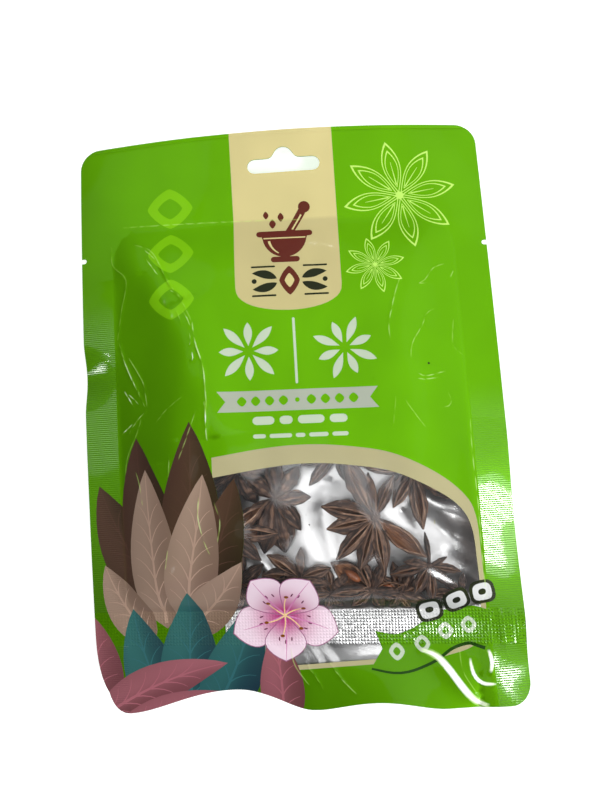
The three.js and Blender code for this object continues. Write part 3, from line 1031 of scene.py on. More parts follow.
def shell(name, flat, faces, film, materials, crisp):
    """A closed thin solid: film is its height function, the one for its shading and its thickness.

    Faces marked crisp keep their own flat shading. The mesh's faces are the top's, the same
    below, and the walls'. The piece comes with the number of its walls.
    """
    height, smooth_height, thickness = film
    used, faces = np.unique(faces, return_inverse=True)
    faces = faces.reshape(-1, 3)
    flat = flat[used]
    x, y = flat.T
    count = len(flat)
    top = np.column_stack([x, y, height(x, y)])
    points = np.vstack([top, top - (0, 0, thickness)])
    sides = np.vstack([faces[:, [0, 1]], faces[:, [1, 2]], faces[:, [2, 0]]])
    a, b = sides[~np.isin(sides[:, 0] * count + sides[:, 1], sides[:, 1] * count + sides[:, 0])].T
    walls = np.vstack([np.column_stack([b, a, a + count]), np.column_stack([b, a + count, b + count])])
    corners = slope_normals(smooth_height, x, y)[faces]
    corners[crisp] = face_normals(top, faces)[crisp][:, None, :]
    wall_corners = np.repeat(face_normals(points, walls)[:, None, :], 3, axis=1)
    normals = np.vstack([corners, -corners[:, ::-1], wall_corners]).reshape(-1, 3)
    slots = np.zeros(2 * len(faces) + len(walls), int)
    slots[len(faces) : 2 * len(faces)] = len(materials) - 1
    everything = np.vstack([faces, faces[:, ::-1] + count, walls])
    return new_piece(name, points, everything, materials, normals, slots), len(walls)


def over_shell(top, walls, edge):
    """Values at the corners of a whole shell, from its top's, either one a face or one a corner."""
    if top.ndim == 1:
        top = np.tile(top[:, None, None], (1, 3, 3))
    return np.vstack([top, top[:, ::-1], np.broadcast_to(edge, (walls, 3, 3))])


def set_colours(piece, name, colours, alpha=1.0):
    attribute = piece.data.color_attributes.new(name, "FLOAT_COLOR", "CORNER")
    flat = colours.reshape(-1, 3)
    attribute.data.foreach_set("color", np.column_stack([flat, np.broadcast_to(alpha, len(flat))]).ravel())


# ---- The films ----
FILM_GLOSS = 0.07
SEAL_GLOSS = {1: 0.75, -1: 0.9}  # by side
BAND_GLOSS = 0.5
BAND_GLOSS_STARTS = (-15.0, 35.0)  # from the left
METAL = 0.66  # how much light the bright film gives back
SHADED_BAND_METAL = 0.5  # the same below the pouch, in the sealed band, given a darker grey as painted shade


def straight(points):
    """Undoes skewed()."""
    return np.stack([points[:, 0], straightened(points[:, 0], points[:, 1])], 1)


def painted(shapes, middles):
    """Each face's number in the list of shapes, the last one that holds it, or -1 for the ground."""
    owner = np.full(len(middles), -1)
    for index, (ring, _) in enumerate(shapes):
        owner[inside(middles, ring)] = index
    return owner


def corner_colours(shapes, owner, corners):
    """Linear colours at the corners of the faces."""
    colours = np.empty((len(corners), 3, 3))
    for index in np.unique(owner):
        paint, mine = shaded_green if index < 0 else shapes[index][1], owner == index
        if callable(paint):
            colours[mine] = paint(straight(corners[mine].reshape(-1, 2))).reshape(-1, 3, 3)
        else:
            colours[mine] = linear(paint)
    return colours


def mark_half_width(width):
    return max(0.25, 0.62 * width)


def crease_lightening(flat):
    """How far the ink is lightened at each point, as broken lines along the creases: partly stress
    whitening, and painted highlight where a crease or fold catches the light.
    """
    total = np.zeros(len(flat))
    for number, ((line, _, width), (*_, strength)) in enumerate(zip(CREASE_LINES, CREASES)):
        half = mark_half_width(width)
        near = near_line(*flat.T, line, half)
        x, y = flat[near].T
        distance, fade = from_line(x, y, line)
        breaks = 0.5 * np.sin(1.7 * x + 1.1 * y + number) + 0.3 * np.sin(0.9 * y - 2.3 * x)
        solid = smoothstep(width, 0.45, 1.0)
        broken = smoothstep(breaks, -0.6 - solid, 0.3 - solid)
        taper = 1 - solid * 0.7 * (1 - fade)
        shape = np.clip((1.2 + solid) * (1 - distance / half / taper), 0, 1)
        total[near] = np.maximum(total[near], strength * fade**0.5 * broken * shape)
    return np.minimum(total, 1)[:, None]


def with_crease_marks(colours, lightening):
    """Colours with the marks along the creases: pale green where light, partly stress whitening and partly
    painted highlight, and white painted highlight where strong.
    """
    return between(colours, between(linear(CREASE_LIGHT_GREEN), linear(CREASE_GLINT_WHITE), lightening**2), lightening)


def set_print(piece, colours, middles, walls):
    """The ink, and how strongly the clear layer over it mirrors.

    The ink's alpha is how much of the bright layer shows through: green inks are
    see-through. The pressed seals shine the most.
    """
    ink = over_shell(colours, walls, linear(GREEN)).reshape(-1, 3)
    others = np.maximum(ink[:, 0], ink[:, 2])
    set_colours(piece, "print", ink, np.clip((ink[:, 1] - others) / np.maximum(ink[:, 1], 1e-3), 0.1, 0.8))
    x, y = middles.T
    sides = between(FILM_GLOSS, np.where(x > 0, SEAL_GLOSS[1], SEAL_GLOSS[-1]), pressed(x, y))
    shine = np.where(in_band(x, y), BAND_GLOSS * smoothstep(x, *BAND_GLOSS_STARTS), sides)
    set_colours(piece, "gloss", over_shell(shine, walls, FILM_GLOSS))


def front_film(printed_material, inner_material, clear_material):
    """The front film in two pieces: what is printed, and the clear window."""
    shapes = [(skewed(ring), paint) for ring, paint in front_print()]
    rings = [subdivided(ring, PRINT_STEP) for ring, _ in shapes]
    lines, cells = band_lattice(-HALF_WIDTH, HALF_WIDTH)
    lines += rib_lines() + header_lines() + crease_lines()
    flat, faces, middles = film_mesh(rings, lines, [cells], FRONT_SPACING)
    owner = painted(shapes, middles)
    clear = np.array([index >= 0 and shapes[index][1] is CLEAR for index in owner])
    crisp = in_band(*middles.T) | in_side_seal(*middles.T)
    film, ink = (front_height, front_plain, FILM), ~clear
    materials = [printed_material, inner_material]
    printed, walls = shell("printed_front_film", flat, faces[ink], film, materials, crisp[ink])
    colours = corner_colours(shapes, owner[ink], flat[faces[ink]])
    set_print(printed, with_crease_marks(colours, crease_lightening(flat)[faces[ink]]), middles[ink], walls)
    window_film, _ = shell("window_film", flat, faces[clear], film, [clear_material], crisp[clear])
    return printed, window_film


def lining(material):
    """The bright inside of the back film, embossed where the window shows it."""
    lines, cells = band_lattice(WINDOW_LEFT, INNER_HALF_WIDTH)
    flat, faces, middles = film_mesh([], lines, [cells], BACK_SPACING)
    crisp = in_band(*middles.T) & (middles[:, 0] > WINDOW_LEFT)
    film = (lining_height, lining_plain, 0.4 * FILM)
    piece, walls = shell("metallised_lining", flat, faces, film, [material], crisp)
    # painted shade: the sealed band's metal is given a darker grey
    greys = np.where(straightened(*middles.T) < POUCH_BOTTOM, SHADED_BAND_METAL, METAL)
    set_colours(piece, "tone", over_shell(greys, walls, METAL))
    return piece


def back_film(material):
    """The printed back, which is hidden when the pouch lies down."""
    shapes = [(skewed(ring), paint) for ring, paint in back_print()]
    rings = [subdivided(ring, BACK_STEP) for ring, _ in shapes]
    flat, faces, middles = film_mesh(rings, [], [], BACK_SPACING)
    film = (back_height, back_height, 0.5 * FILM)
    piece, walls = shell("printed_back_film", flat, faces, film, [material], np.zeros(len(faces), bool))
    set_print(piece, corner_colours(shapes, painted(shapes, middles), flat[faces]), middles, walls)
    return piece


# ---- Star anise: pods of boat-shaped follicles round a hub ----
ALONG = 21  # rings along a follicle
AROUND_OUT, AROUND_IN = 34, 6  # points round its outside and its hollow
AROUND = AROUND_OUT + AROUND_IN


def tube_faces(rings, around):
    """Triangles between rings of points, where each ring is joined to the next."""
    a = np.arange((rings - 1) * around)
    b = a + np.where(a % around == around - 1, 1 - around, 1)
    return np.vstack([np.column_stack([a, a + around, b]), np.column_stack([b, a + around, b + around])])


def egg_faces(rings, around):
    """The same with a point at each end, which come after the rings."""
    k = np.arange(around)
    after, last = (k + 1) % around, (rings - 1) * around
    start = 0 * k + rings * around
    ends = [np.column_stack([start, k, after]), np.column_stack([start + 1, last + after, last + k])]
    return np.vstack([tube_faces(rings, around), *ends])


def cap_faces():
    """Triangles across a follicle's first ring, between its outside and its hollow."""
    pairs = np.arange(AROUND_OUT)
    across = AROUND - 1 - np.round(pairs * (AROUND_IN - 1) / (AROUND_OUT - 1)).astype(int)
    cap = [(p, p + 1, q) for p, q in zip(pairs[:-1], across)]
    cap += [(p + 1, r, q) for p, q, r in zip(pairs, across, across[1:]) if r != q]
    return np.array(cap)


def stacked(meshes):
    """Several meshes, each as its points and faces, as one."""
    firsts = np.cumsum([0, *(len(points) for points, _ in meshes)])
    faces = [faces + first for (_, faces), first in zip(meshes, firsts)]
    return np.vstack([points for points, _ in meshes]), np.vstack(faces)


def swelling_of(random, s, angle):
    """Wrinkles over a follicle's outside: seven that run along it, and five across."""
    total = np.zeros((ALONG, AROUND_OUT))
    for number in range(12):
        lengthwise = number < 7
        along = random.uniform(0.0, 1.6) if lengthwise else random.uniform(2, 6)
        around = random.integers(3, 11) if lengthwise else random.integers(0, 5)
        strength = random.uniform(0.4, 1.0) if lengthwise else random.uniform(0.3, 0.7)
        phase = random.uniform(0, 2 * math.pi)
        total += strength * np.sin(2 * math.pi * along * s + around * angle + phase)
    return total / 2.4


def follicle(random, length, wide, opening):
    """One follicle along +X with its mouth up: its mesh, its marks and its seed's place.

    A point's marks are its tone and its grain. The tone is how far inside the hollow, how
    high on a wrinkle and how dark the follicle is. The grain places the point round and
    along the follicle, for wrinkles that follow its form.
    """
    s = np.linspace(0, 1, ALONG)[:, None]
    form = np.sin(math.pi * np.clip(s, 0.001, 0.999) ** 1.12) ** 0.8 * (1 - 0.3 * smoothstep(s, 0.75, 1.0))
    width = length * (0.014 + wide * form)
    depth = length * (0.03 + 0.22 * smoothstep(s, -0.25, 0.4) * np.clip((1 - s) / 0.5, 0, 1) ** 0.7)
    gape = opening * np.sin(math.pi * np.clip((s - 0.12) / 0.78, 0, 1)) ** 0.7
    reach = math.pi - gape
    outer = np.linspace(-1, 1, AROUND_OUT)[None, :] * reach
    inner = np.linspace(1, -1, AROUND_IN)[None, :] * (reach - 0.06)
    wall = 0.028 * length

    def lips(angle):
        return smoothstep(np.abs(angle), reach - 0.42, reach)

    def section(angle, shrink):
        half, deep = np.maximum(width - shrink, 0.15 * width), np.maximum(depth - shrink, 0.15 * depth)
        lift = np.where(np.cos(angle) > 0, -1.0, 0.45) * deep * np.abs(np.cos(angle))
        return half * np.sin(angle), lift + 0.16 * deep * lips(angle)

    wrinkles = swelling_of(random, s, outer) * np.sin(math.pi * np.clip(s, 0.02, 0.98)) ** 0.6
    outside, hollow = section(outer, 0.0), section(inner, wall)
    y, z = (np.hstack([out * (1 + 0.11 * wrinkles), back]) for out, back in zip(outside, hollow))
    bend = random.uniform(-0.09, 0.09) * length
    y = y + bend * s**2
    z = z + length * (0.10 * s**3 - 0.02 + random.uniform(0.0, 0.06) * s**6)
    points = np.stack([s * length + 0 * y, y, z], 2).reshape(-1, 3)
    marks = np.zeros((ALONG, AROUND, 6))
    marks[:, AROUND_OUT:, 0] = 1.0
    marks[:, [0, AROUND_OUT - 1, AROUND_OUT, -1], 0] = 0.5
    marks[:, :AROUND_OUT, 1] = np.maximum(smoothstep(wrinkles, -0.6, 1.1), 1.3 * lips(outer))
    marks[:, :, 2] = random.uniform()
    marks[:, :, 3] = np.hstack([outer, inner]) / math.pi
    marks[:, :, 4] = s
    marks[:, :, 5] = random.uniform(0, 40)
    cap = cap_faces()
    faces = np.vstack([tube_faces(ALONG, AROUND), cap, cap[:, ::-1] + (ALONG - 1) * AROUND])
    seat = np.array([0.47 * length, bend * 0.22, -0.02 * length])
    return points, faces, marks.reshape(-1, 6), seat


def hub(random, radius):
    """The knot where the follicles meet: a low grooved dome, with its marks."""
    rings, around = 6, 24
    angle = np.linspace(0, 2 * math.pi, around, endpoint=False)
    u = np.linspace(0.08, 0.92, rings)[:, None] * math.pi
    out = radius * np.sin(u) * (1 + 0.14 * np.sin(8 * angle + random.uniform(0, 6)) * np.sin(u))
    dome = np.stack([out * np.cos(angle), out * np.sin(angle), 1.3 * radius * np.cos(u) + 0 * out], 2)
    points = np.vstack([dome.reshape(-1, 3), (0, 0, 1.25 * radius), (0, 0, -1.25 * radius)])
    marks = np.tile((0, 0, 0.6, 0, 0.2, 7), (len(points), 1))
    marks[:, 1] = np.append(np.tile(0.55 + 0.4 * np.sin(8 * angle), rings), (0.8, 0.8))
    marks[:, 3] = np.append(np.tile(angle, rings), (0, 0))
    return points, egg_faces(rings, around), marks


def seed_mesh(random, length):
    """A smooth flattened egg with a dent at its scar."""
    rings, around = 9, 12
    u = (np.arange(rings)[:, None] + 0.5) / rings * math.pi
    v = 2 * math.pi * np.arange(around) / around
    radius = np.sin(u) * (1 - 0.12 * np.cos(u))
    egg = np.stack([np.cos(u) + 0 * v, 0.5 * radius * np.cos(v), 0.64 * radius * np.sin(v)], 2)
    points = np.vstack([egg.reshape(-1, 3), (1.0, 0, 0), (-0.97, 0, 0)])
    return points * length / 2 * random.uniform(0.92, 1.06), egg_faces(rings, around)[:, ::-1]


def turn(axis, degrees):
    return np.array(Matrix.Rotation(math.radians(degrees), 3, axis))


# Pods: hub, tilt about X and Y, place from 0 on the lining to 1 against the film, and
# follicles as (heading, length, half-width as a share of it, gape). Gapes over 0.7 and
# below 0 have their mouths up: wide open, and nearly shut with their two lips showing.
PODS = [
    (23.5, -34.3, 2, -3, 1, [
        (116, 19.3, 0.16, -0.16), (95, 13.4, 0.11, 0.3), (64, 13.7, 0.13, -0.2), (-44, 18.6, 0.125, 1),
        (-83, 16.2, 0.14, -0.2), (-109, 15.7, 0.17, -0.16), (-138, 16.9, 0.13, -0.2),
        (-168, 14.8, 0.17, -0.2), (162, 16.2, 0.17, -0.16),
    ]),
    (38.5, -49.4, -4, 2, 1, [
        (-12, 9.3, 0.13, -0.3), (-51, 8.4, 0.16, 0.3), (-92, 10.6, 0.14, -0.2), (-126, 9.6, 0.18, -0.3),
        (-169, 12.1, 0.13, -0.2), (164, 7.7, 0.15, 0.3), (90, 9.9, 0.07, 0.3), (25, 6, 0.1, 0.3),
    ]),
    (21.3, -55.8, 4, 0, 0.8, [
        (143, 14.9, 0.19, 1.3), (113, 10.3, 0.2, -0.2), (65, 9.1, 0.2, 0.4), (11, 9.7, 0.16, 0.8),
        (-21, 11.3, 0.16, -0.2), (-67, 7.7, 0.2, 0.3), (-140, 8.5, 0.2, -0.3), (-178, 12.8, 0.17, -0.3),
    ]),
    (-20.6, -35.7, 0, 3, 1, [
        (29, 13.4, 0.17, -0.35), (-12, 15, 0.16, -0.3), (-45, 13.4, 0.15, 0.3), (-83, 12.6, 0.15, -0.3),
        (78, 12.1, 0.17, -0.3), (177, 8.9, 0.17, 0.3),
    ]),
    (-6.5, -27.2, 3, 0, 0.3, [
        (-80, 17.4, 0.23, 0.3), (-110, 17, 0.21, 0.3), (-50, 12.4, 0.2, 0.3), (0, 11, 0.2, 0.3),
        (50, 12.5, 0.2, 0.3), (90, 13.4, 0.2, 0.3), (140, 12.3, 0.19, 0.3), (-146, 12.1, 0.2, 0.3),
    ]),
    (-19, -52.3, 0, 2, 0.5, [
        (35, 9.2, 0.2, 0.3), (-11, 9.8, 0.18, -0.3), (-58, 8.9, 0.2, 0.3), (-103, 10.4, 0.2, 0.3),
        (-155, 9.6, 0.2, 0.3), (145, 8.3, 0.2, -0.3), (87, 9.8, 0.18, -0.3),
    ]),
    (0, -51, 3, -3, 0.8, [
        (13, 9.7, 0.2, -0.2), (-21, 9.4, 0.16, 0.3), (-60, 7.6, 0.18, -0.3), (-107, 10.2, 0.2, -0.2),
        (-148, 11.1, 0.2, 0.3), (171, 11.5, 0.18, -0.2), (140, 12.1, 0.17, -0.3), (90, 8.8, 0.16, 0.3),
    ]),
    (35.8, -21, 4, 2, 0.6, [
        (-83, 17.7, 0.14, -0.3), (-35, 18, 0.15, 0.3), (-121, 12.9, 0.15, -0.3), (172, 17.3, 0.12, 0.8),
        (144, 11.4, 0.2, 0.3), (81, 12.3, 0.2, 0.3), (27, 12, 0.2, 0.3), (-147, 9.1, 0.17, 0.3),
    ]),
    (13.1, -14.1, -4, 0, 0.2, [
        (-133, 13.2, 0.14, -0.3), (-162, 12, 0.15, 0.3), (152, 8.9, 0.2, 0.3), (-76, 9, 0.15, 0.3),
        (86, 11.5, 0.2, 0.3), (39, 10.1, 0.2, 0.3), (-22, 11.7, 0.14, 0.3),
    ]),
    (-17.9, -18.4, 3, 3, 0.2, [
        (-62, 11.6, 0.21, 0.3), (-107, 12, 0.21, 0.3), (-155, 12.7, 0.2, 0.3), (-24, 12.6, 0.2, 0.3),
        (10, 10.8, 0.2, 0.3), (79, 9.3, 0.2, 0.3), (140, 10.2, 0.2, 0.3),
    ]),
    # Smaller pods that lie deeper, along the bottom seal
    (9, -56.6, 0, 0, 0.3, [
        (8, 11, 0.17, -0.2), (52, 8, 0.18, 0.3), (96, 8.5, 0.17, -0.2), (140, 9, 0.18, -0.3),
        (-176, 10, 0.16, -0.2), (-60, 6, 0.2, 0.3), (-115, 6, 0.2, 0.3),
    ]),
    (29.6, -57, 0, 0, 0.4, [
        (100, 9.4, 0.17, -0.2), (58, 8.6, 0.16, 0.3), (16, 10.5, 0.17, -0.3), (-24, 9.5, 0.17, 0.3),
        (-75, 7, 0.18, -0.2), (-125, 7, 0.18, 0.3), (172, 9, 0.17, 0.3), (138, 8.4, 0.16, -0.2),
    ]),
    (-9, -57.2, 0, 0, 0.3, [
        (12, 9.5, 0.18, 0.3), (60, 8.5, 0.17, -0.3), (110, 8.8, 0.18, 0.3), (165, 11, 0.16, -0.2),
        (-60, 6, 0.2, 0.3), (-130, 6.5, 0.2, -0.3),
    ]),
    (47, -58.6, 0, 0, 0.3, [(175, 10, 0.17, -0.2), (128, 7.5, 0.17, 0.3), (80, 6.5, 0.17, 0.3)]),
]
WIDE_OPEN = 0.7
POD_SEED = 8
SEED_CHANCE = 0.6  # of a seed in a wide open follicle
POD_CLEARANCE = 0.25
POD_ROOM = 0.3  # least height that is left for a pod
SOFT_SHARE = 0.15  # of that height at either film, where a pod is flattened softly
SEAM_REACH = POUCH_BOTTOM + 3.4  # a pod's tips are pressed together before the bottom seal
SEAM_SOFTNESS = 3.0


def fitted_between(points, near_film):
    """Sets a pod's height between the lining and the film, and flattens what would go through either."""
    x, y, z = points.T
    up = straightened(x, y)
    pressed_up = SEAM_REACH - SEAM_SOFTNESS * np.tanh((SEAM_REACH - up) / SEAM_SOFTNESS)
    y = y + np.where(up < SEAM_REACH, pressed_up - up, 0.0)
    floor, roof = lining_height(x, y) + POD_CLEARANCE, front_plain(x, y) - FILM - POD_CLEARANCE
    room = np.maximum(roof - floor, POD_ROOM)
    highest, lowest = np.quantile(roof - z, 0.03), np.quantile(floor - z, 0.97)
    share = (z + between(lowest, highest, near_film) - floor) / room
    level = np.clip(share, SOFT_SHARE, 1 - SOFT_SHARE)
    softened = level + SOFT_SHARE * np.tanh((share - level) / SOFT_SHARE)
    return np.column_stack([x, y, floor + room * softened])


def star_anise():
    """All the pods as one mesh, the marks of its points, and the seeds as another mesh."""
    random = np.random.default_rng(POD_SEED)
    pods, seeds, marks = [], [], []
    for x, y, tilt_x, tilt_y, near_film, follicles in PODS:
        husk, grains = [], []
        for heading, length, wide, gape in follicles:
            opening = abs(gape) * random.uniform(0.8, 1.2)
            points, faces, mark, seat = follicle(random, length, wide, opening)
            roll = random.uniform(-14, 14) + (0 if gape > WIDE_OPEN or gape < 0 else 180)
            spin = turn("Z", heading) @ turn("Y", random.uniform(-5, 5)) @ turn("X", roll)
            husk.append((points @ spin.T, faces))
            marks.append(mark)
            if gape > WIDE_OPEN and random.uniform() < SEED_CHANCE:
                points, faces = seed_mesh(random, 0.36 * length)
                grains.append(((points + seat) @ spin.T, faces))
        points, faces, mark = hub(random, 0.085 * max(length for _, length, *_ in follicles))
        husk.append((points, faces))
        marks.append(mark)
        pose = turn("X", tilt_x) @ turn("Y", tilt_y)
        placed = fitted_between(stacked(husk + grains)[0] @ pose.T + (x, y, 0), near_film)
        points, faces = stacked(husk)
        pods.append((placed[: len(points)], faces))
        if grains:
            seeds.append((placed[len(points) :], stacked(grains)[1]))
    return stacked(pods), np.vstack(marks), stacked(seeds)


CRUMBS = 60
CRUMB_SEED = 21


def crumbs():
    """Tiny chips of pod that cling to the lining and the film."""
    random = np.random.default_rng(CRUMB_SEED)
    chips = []
    for _ in range(CRUMBS):
        place = random.uniform(-18, 50, 1), random.uniform(-60, -20, 1)
        size = random.uniform(0.15, 0.5)
        height = lining_height(*place) + size
        if random.uniform() < 0.3:
            height = front_plain(*place) - FILM - 1.2 * size
        corners = random.normal(size=(4, 3))
        corners *= size / np.linalg.norm(corners, axis=1)[:, None]
        a, b, c, d = corners
        faces = np.array([(0, 1, 2), (0, 3, 1), (1, 3, 2), (2, 3, 0)])
        if np.dot(np.cross(b - a, c - a), d - a) > 0:
            faces = faces[:, ::-1]
        chips.append((corners + np.concatenate([*place, height]), faces))
    return stacked(chips)


# ---- Materials ----
def new_material(name):
    material = bpy.data.materials.new(name)
    material.use_nodes = True
    material.node_tree.nodes.clear()
    return material, material.node_tree


def add(tree, kind, values=(), **settings):
    """A shader node with its settings, and with a value or a link for each named input."""
    made = tree.nodes.new("ShaderNode" + kind)
    for key, value in settings.items():
        setattr(made, key, value)
    for key, value in dict(values).items():
        socket = made.inputs[key]
        if isinstance(value, bpy.types.NodeSocket):
            tree.links.new(value, socket)
        else:
            socket.default_value = value
    return made


def noise(tree, scale, detail=3.0, stretch=(1, 1, 1)):
    """Noise in object coordinates, stretched where they are scaled down."""
    source = add(tree, "TexCoord").outputs["Object"]
    vector = add(tree, "Mapping", {"Vector": source, "Scale": stretch}).outputs["Vector"]
    return add(tree, "TexNoise", {"Vector": vector, "Scale": scale, "Detail": detail}).outputs["Fac"]


def ranged(tree, value, low, high, out_low, out_high):
    inputs = {"Value": value, "From Min": low, "From Max": high, "To Min": out_low, "To Max": out_high}
    return add(tree, "MapRange", inputs).outputs["Result"]


def bump(tree, height, strength, distance, **normal):
    values = {"Height": height, "Strength": strength, "Distance": distance, **normal}
    return add(tree, "Bump", values).outputs["Normal"]


def corner_colour(tree, name):
    """The outputs of a colour attribute."""
    return add(tree, "VertexColor", layer_name=name).outputs


def mixed(tree, factor, first, second, blend="MIX"):
    values = {0: factor, 6: first, 7: second}
    return add(tree, "Mix", values, data_type="RGBA", blend_type=blend).outputs[2]


def finished(tree, shader):
    add(tree, "OutputMaterial", {"Surface": shader})


def principled(tree, values):
    finished(tree, add(tree, "BsdfPrincipled", values).outputs["BSDF"])


def printed_film_material():
    """Glossy laminate: ink over a bright layer, with faint draw lines and a wavy gloss."""
    material, tree = new_material("printed_film")
    ink = corner_colour(tree, "print")
    cloud = ranged(tree, noise(tree, 60.0, 1.0), 0.3, 0.7, 0.96, 1.04)
    streaks = noise(tree, 700.0, 2.0, (1.0, 0.02, 1.0))
    wavy = bump(tree, noise(tree, 130.0, 2.0), 0.12, 0.00003)
    values = {
        "Base Color": mixed(tree, 1.0, ink["Color"], cloud, "MULTIPLY"),
        "Metallic": ranged(tree, ink["Alpha"], 0.0, 1.0, 0.0, 0.72),
        "Roughness": 0.45,
        "Specular IOR Level": 0.2,
        "Specular Tint": (0.7, 1.0, 0.1, 1.0),
        "Coat Weight": corner_colour(tree, "gloss")["Color"],
        "Coat Roughness": 0.05,
        "Normal": bump(tree, streaks, 0.10, 0.00001, Normal=wavy),
    }
    principled(tree, values)
    return material


def clear_film_material():
    """Clear glossy film with a slight haze and hair scratches."""
    material, tree = new_material("clear_film")
    scratches = bump(tree, noise(tree, 900.0, 2.0, (1.0, 0.05, 1.0)), 0.15, 0.00005)
    normal = bump(tree, noise(tree, 140.0), 0.3, 0.0002, Normal=scratches)
    mirror = {"Color": (0.95, 0.96, 0.97, 1), "Roughness": 0.1, "Normal": normal}
    gloss = add(tree, "BsdfGlossy", mirror).outputs["BSDF"]
    haze = add(tree, "BsdfDiffuse", {"Color": (0.8, 0.8, 0.8, 1)}).outputs["BSDF"]
    through = add(tree, "BsdfTransparent", {"Color": (0.97, 0.97, 0.97, 1)}).outputs["BSDF"]
    cloudy = ranged(tree, noise(tree, 60.0), 0.35, 0.7, 0.002, 0.012)
    base = add(tree, "MixShader", {"Fac": cloudy, 1: through, 2: haze}).outputs["Shader"]
    facing = add(tree, "LayerWeight", {"Blend": 0.5, "Normal": normal}).outputs["Facing"]
    glancing = add(tree, "Math", {0: facing, 1: 4.0}, operation="POWER").outputs["Value"]
    mirrored = ranged(tree, glancing, 0.0, 1.0, 0.02, 0.8)
    finished(tree, add(tree, "MixShader", {"Fac": mirrored, 1: base, 2: gloss}).outputs["Shader"])
    return material


def metallised_material(name, toned=False):
    """Bright aluminised film, softly dimpled, its grey either even or the mesh's tone, which on the lining
    holds painted shade.
    """
    material, tree = new_material(name)
    dimples = bump(tree, noise(tree, 220.0, 3.0), 0.35, 0.0003)
    values = {
        "Base Color": corner_colour(tree, "tone")["Color"] if toned else (METAL, METAL, METAL, 1),
        "Metallic": 1.0,
        "Roughness": 0.3,
        "Normal": bump(tree, noise(tree, 900.0, 2.0), 0.15, 0.0001, Normal=dimples),
    }
    principled(tree, values)
    return material


def ramp(tree, value, stops):
    made = add(tree, "ValToRGB", {"Fac": value})
    elements = made.color_ramp.elements
    while len(elements) < len(stops):
        elements.new(0.5)
    for element, (position, colour) in zip(elements, stops):
        element.position, element.color = position, (*linear(colour), 1.0)
    return made.outputs["Color"]


def summed(tree, *parts):
    """The sum of values times their weights."""
    total = 0.0
    for value, weight in parts:
        inputs = {0: value, 1: weight, 2: total}
        total = add(tree, "Math", inputs, operation="MULTIPLY_ADD").outputs["Value"]
    return total


def star_anise_material():
    """Dry husk with fine wrinkles that run along each follicle, and smooth amber in the hollows."""
    material, tree = new_material("star_anise")
    parts = add(tree, "SeparateColor", {"Color": corner_colour(tree, "tone")["Color"]}).outputs
    hollowness, height, darkness = (parts[name] for name in ("Red", "Green", "Blue"))
    grain = {0: corner_colour(tree, "grain")["Color"], 1: (14.0, 2.4, 1.0)}
    lie = add(tree, "VectorMath", grain, operation="MULTIPLY").outputs["Vector"]
    values = {"Vector": lie, "Scale": 1.0, "Detail": 5.0, "Distortion": 0.5}
    folded = add(tree, "TexNoise", values).outputs["Fac"]
    wrinkles = ranged(tree, folded, 0.3, 0.7, 0.0, 1.0)
    across = add(tree, "Math", {0: folded, 1: 0.5, 2: 0.12}, operation="PINGPONG").outputs["Value"]
    threads = ranged(tree, across, 0.42, 0.5, 0.0, 1.0)
    patches = noise(tree, 420.0, 6.0)
    shade = summed(tree, (height, 0.4), (wrinkles, 0.45), (threads, 0.3), (darkness, 0.2), (patches, 0.4))
    husk = ramp(tree, ranged(tree, shade, 0.45, 1.4, 0.0, 1.0), HUSK_COLOURS)
    hollow = ramp(tree, summed(tree, (noise(tree, 250.0, 3.0), 0.6), (wrinkles, 0.4)), HOLLOW_COLOURS)
    creased = bump(tree, wrinkles, 0.7, 0.0004)
    values = {
        "Base Color": mixed(tree, hollowness, husk, hollow),
        "Roughness": ranged(tree, hollowness, 0.0, 1.0, 0.55, 0.34),
        "Normal": bump(tree, noise(tree, 1800.0, 4.0), 0.5, 0.0002, Normal=creased),
    }
    principled(tree, values)
    return material


def seed_material():
    material, tree = new_material("seed")
    colour = ramp(tree, noise(tree, 260.0, 3.0), SEED_COLOURS)
    principled(tree, {"Base Color": colour, "Roughness": 0.2, "Coat Weight": 0.6, "Coat Roughness": 0.08})
    return material


# ---- The pouch and its contents ----
def settled(piece):
    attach(piece, "root")
    return piece


printed_material = printed_film_material()
metal_material = metallised_material("metallised_film")
anise_material = star_anise_material()

printed, window_film = front_film(printed_material, metal_material, clear_film_material())
settled(printed)
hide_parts("pouch")
settled(window_film)
settled(lining(metallised_material("metallised_lining", toned=True)))
settled(back_film(printed_material))

(pod_points, pod_faces), pod_marks, seeds = star_anise()
pods = settled(new_piece("star_anise_pods", pod_points, pod_faces, [anise_material]))
set_colours(pods, "tone", pod_marks[pod_faces][:, :, :3])
set_colours(pods, "grain", pod_marks[pod_faces][:, :, 3:])
settled(new_piece("star_anise_seeds", *seeds, [seed_material()]))
crumb_points, crumb_faces = crumbs()
chips = settled(new_piece("star_anise_crumbs", crumb_points, crumb_faces, [anise_material]))
set_colours(chips, "tone", np.full((len(crumb_faces), 3, 3), (0.0, 0.5, 0.5)))
set_colours(chips, "grain", np.full((len(crumb_faces), 3, 3), 0.5))

# ---- Floor, light and camera ----
FLOOR_SIZE = 3000.0
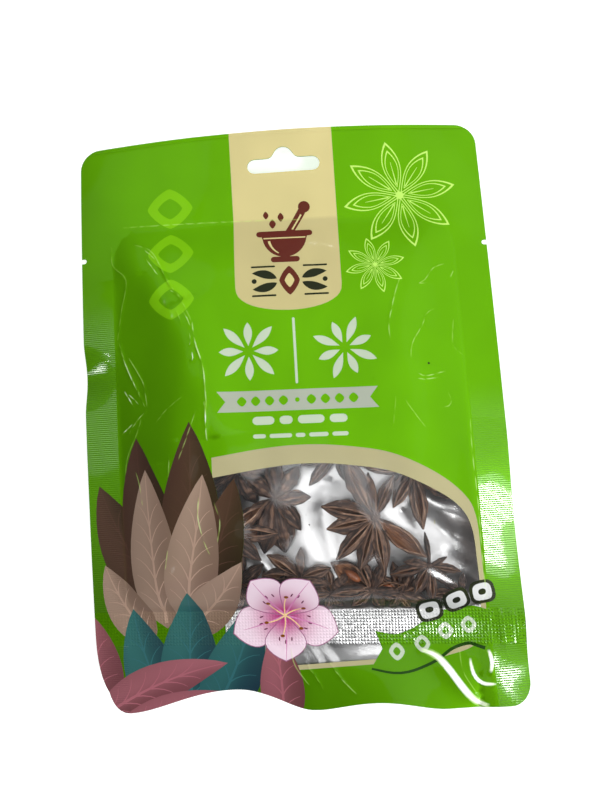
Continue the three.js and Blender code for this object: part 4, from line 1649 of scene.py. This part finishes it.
# Lamps in metres: name, place, what it points at, size and power
LAMPS = [
    ("overhead", (0.30, 0.35, 1.1), (0, 0, 0), (1.3, 1.1), 2.9),
    ("upper_left", (-0.50, 0.60, 1.1), (0, 0, 0), (0.6, 0.5), 1.3),
    ("window", (-0.03, -0.02, 1.1), (0, 0, 0), (0.42, 0.30), 1.0),
    ("key", (0.95, 0.45, 0.80), (0, 0, 0), (1.2, 1.0), 2.6),
    ("lamp_right_0", (0.72, -0.60, 1.1), (0.06, -0.035, 0), (0.18, 0.30), 6.6),
    ("lamp_right_1", (0.72, -0.60, 1.1), (0.06, -0.035, 0), (0.32, 0.46), 3.0),
    ("lamp_left_0", (-1.03, -0.50, 1.1), (-0.06, 0.015, 0), (0.12, 0.15), 1.2),
    ("lamp_left_1", (-1.03, -0.50, 1.1), (-0.06, 0.015, 0), (0.26, 0.28), 1.6),
    ("glint_0", (-0.75, 0.45, 1.1), (0, 0, 0), (0.025, 0.025), 0.2),
    ("glint_1", (-0.60, -0.40, 1.1), (0, 0, 0), (0.025, 0.025), 0.2),
    ("glint_2", (0.10, 0.95, 1.1), (0, 0, 0), (0.025, 0.025), 0.2),
]
CAMERA_PLACE = (0.017452, -0.023655, 0.222206)
CAMERA_TURN = (0.117, 0.074, -0.060)
LENS, SENSOR, NEAREST = 31.5, 36.0, 0.01


def floor():
    corners = FLOOR_SIZE * np.array([(-1, -1, 0), (1, -1, 0), (1, 1, 0), (-1, 1, 0)])
    material, tree = new_material("floor")
    glow = {"Emission Color": (1, 1, 1, 1), "Emission Strength": 0.7}
    principled(tree, {"Base Color": (0.6, 0.6, 0.6, 1), "Roughness": 0.7, **glow})
    new_piece("floor", corners, np.array([(0, 1, 2), (0, 2, 3)]), [material])


def softbox(name, position, target, size, power):
    light = bpy.data.lights.new(name, "AREA")
    light.shape = "ELLIPSE"
    light.size, light.size_y = size
    light.energy = power
    lamp = linked(name, light)
    lamp.location = position
    lamp.rotation_euler = (Vector(target) - Vector(position)).to_track_quat("-Z", "Y").to_euler()


def world():
    """Pale surroundings, darker overhead to the left and to the front."""
    scene = bpy.context.scene
    scene.world = bpy.data.worlds.new("world")
    scene.world.use_nodes = True
    tree = scene.world.node_tree
    background = tree.nodes["Background"].inputs
    direction = add(tree, "TexCoord").outputs["Generated"]
    way = {0: direction, 1: (1.0, 0.7, 0.0)}
    sideways = add(tree, "VectorMath", way, operation="DOT_PRODUCT").outputs["Value"]
    upwards = add(tree, "SeparateXYZ", {"Vector": direction}).outputs["Z"]
    overhead = ranged(tree, sideways, -0.6, 0.5, 0.05, 0.56)
    low = ranged(tree, upwards, 0.12, 0.35, 0.5, 0.0)
    background["Color"].default_value = (0.93, 0.93, 0.94, 1)
    tree.links.new(add(tree, "Math", {0: overhead, 1: low}).outputs["Value"], background["Strength"])


def camera():
    data = bpy.data.cameras.new("camera")
    data.lens, data.sensor_width, data.clip_start = LENS, SENSOR, NEAREST
    made = linked("camera", data)
    made.location, made.rotation_euler = CAMERA_PLACE, CAMERA_TURN
    bpy.context.scene.camera = made


floor()
world()
for lamp in LAMPS:
    softbox(*lamp)
camera()
bpy.context.scene.view_settings.view_transform = "Standard"
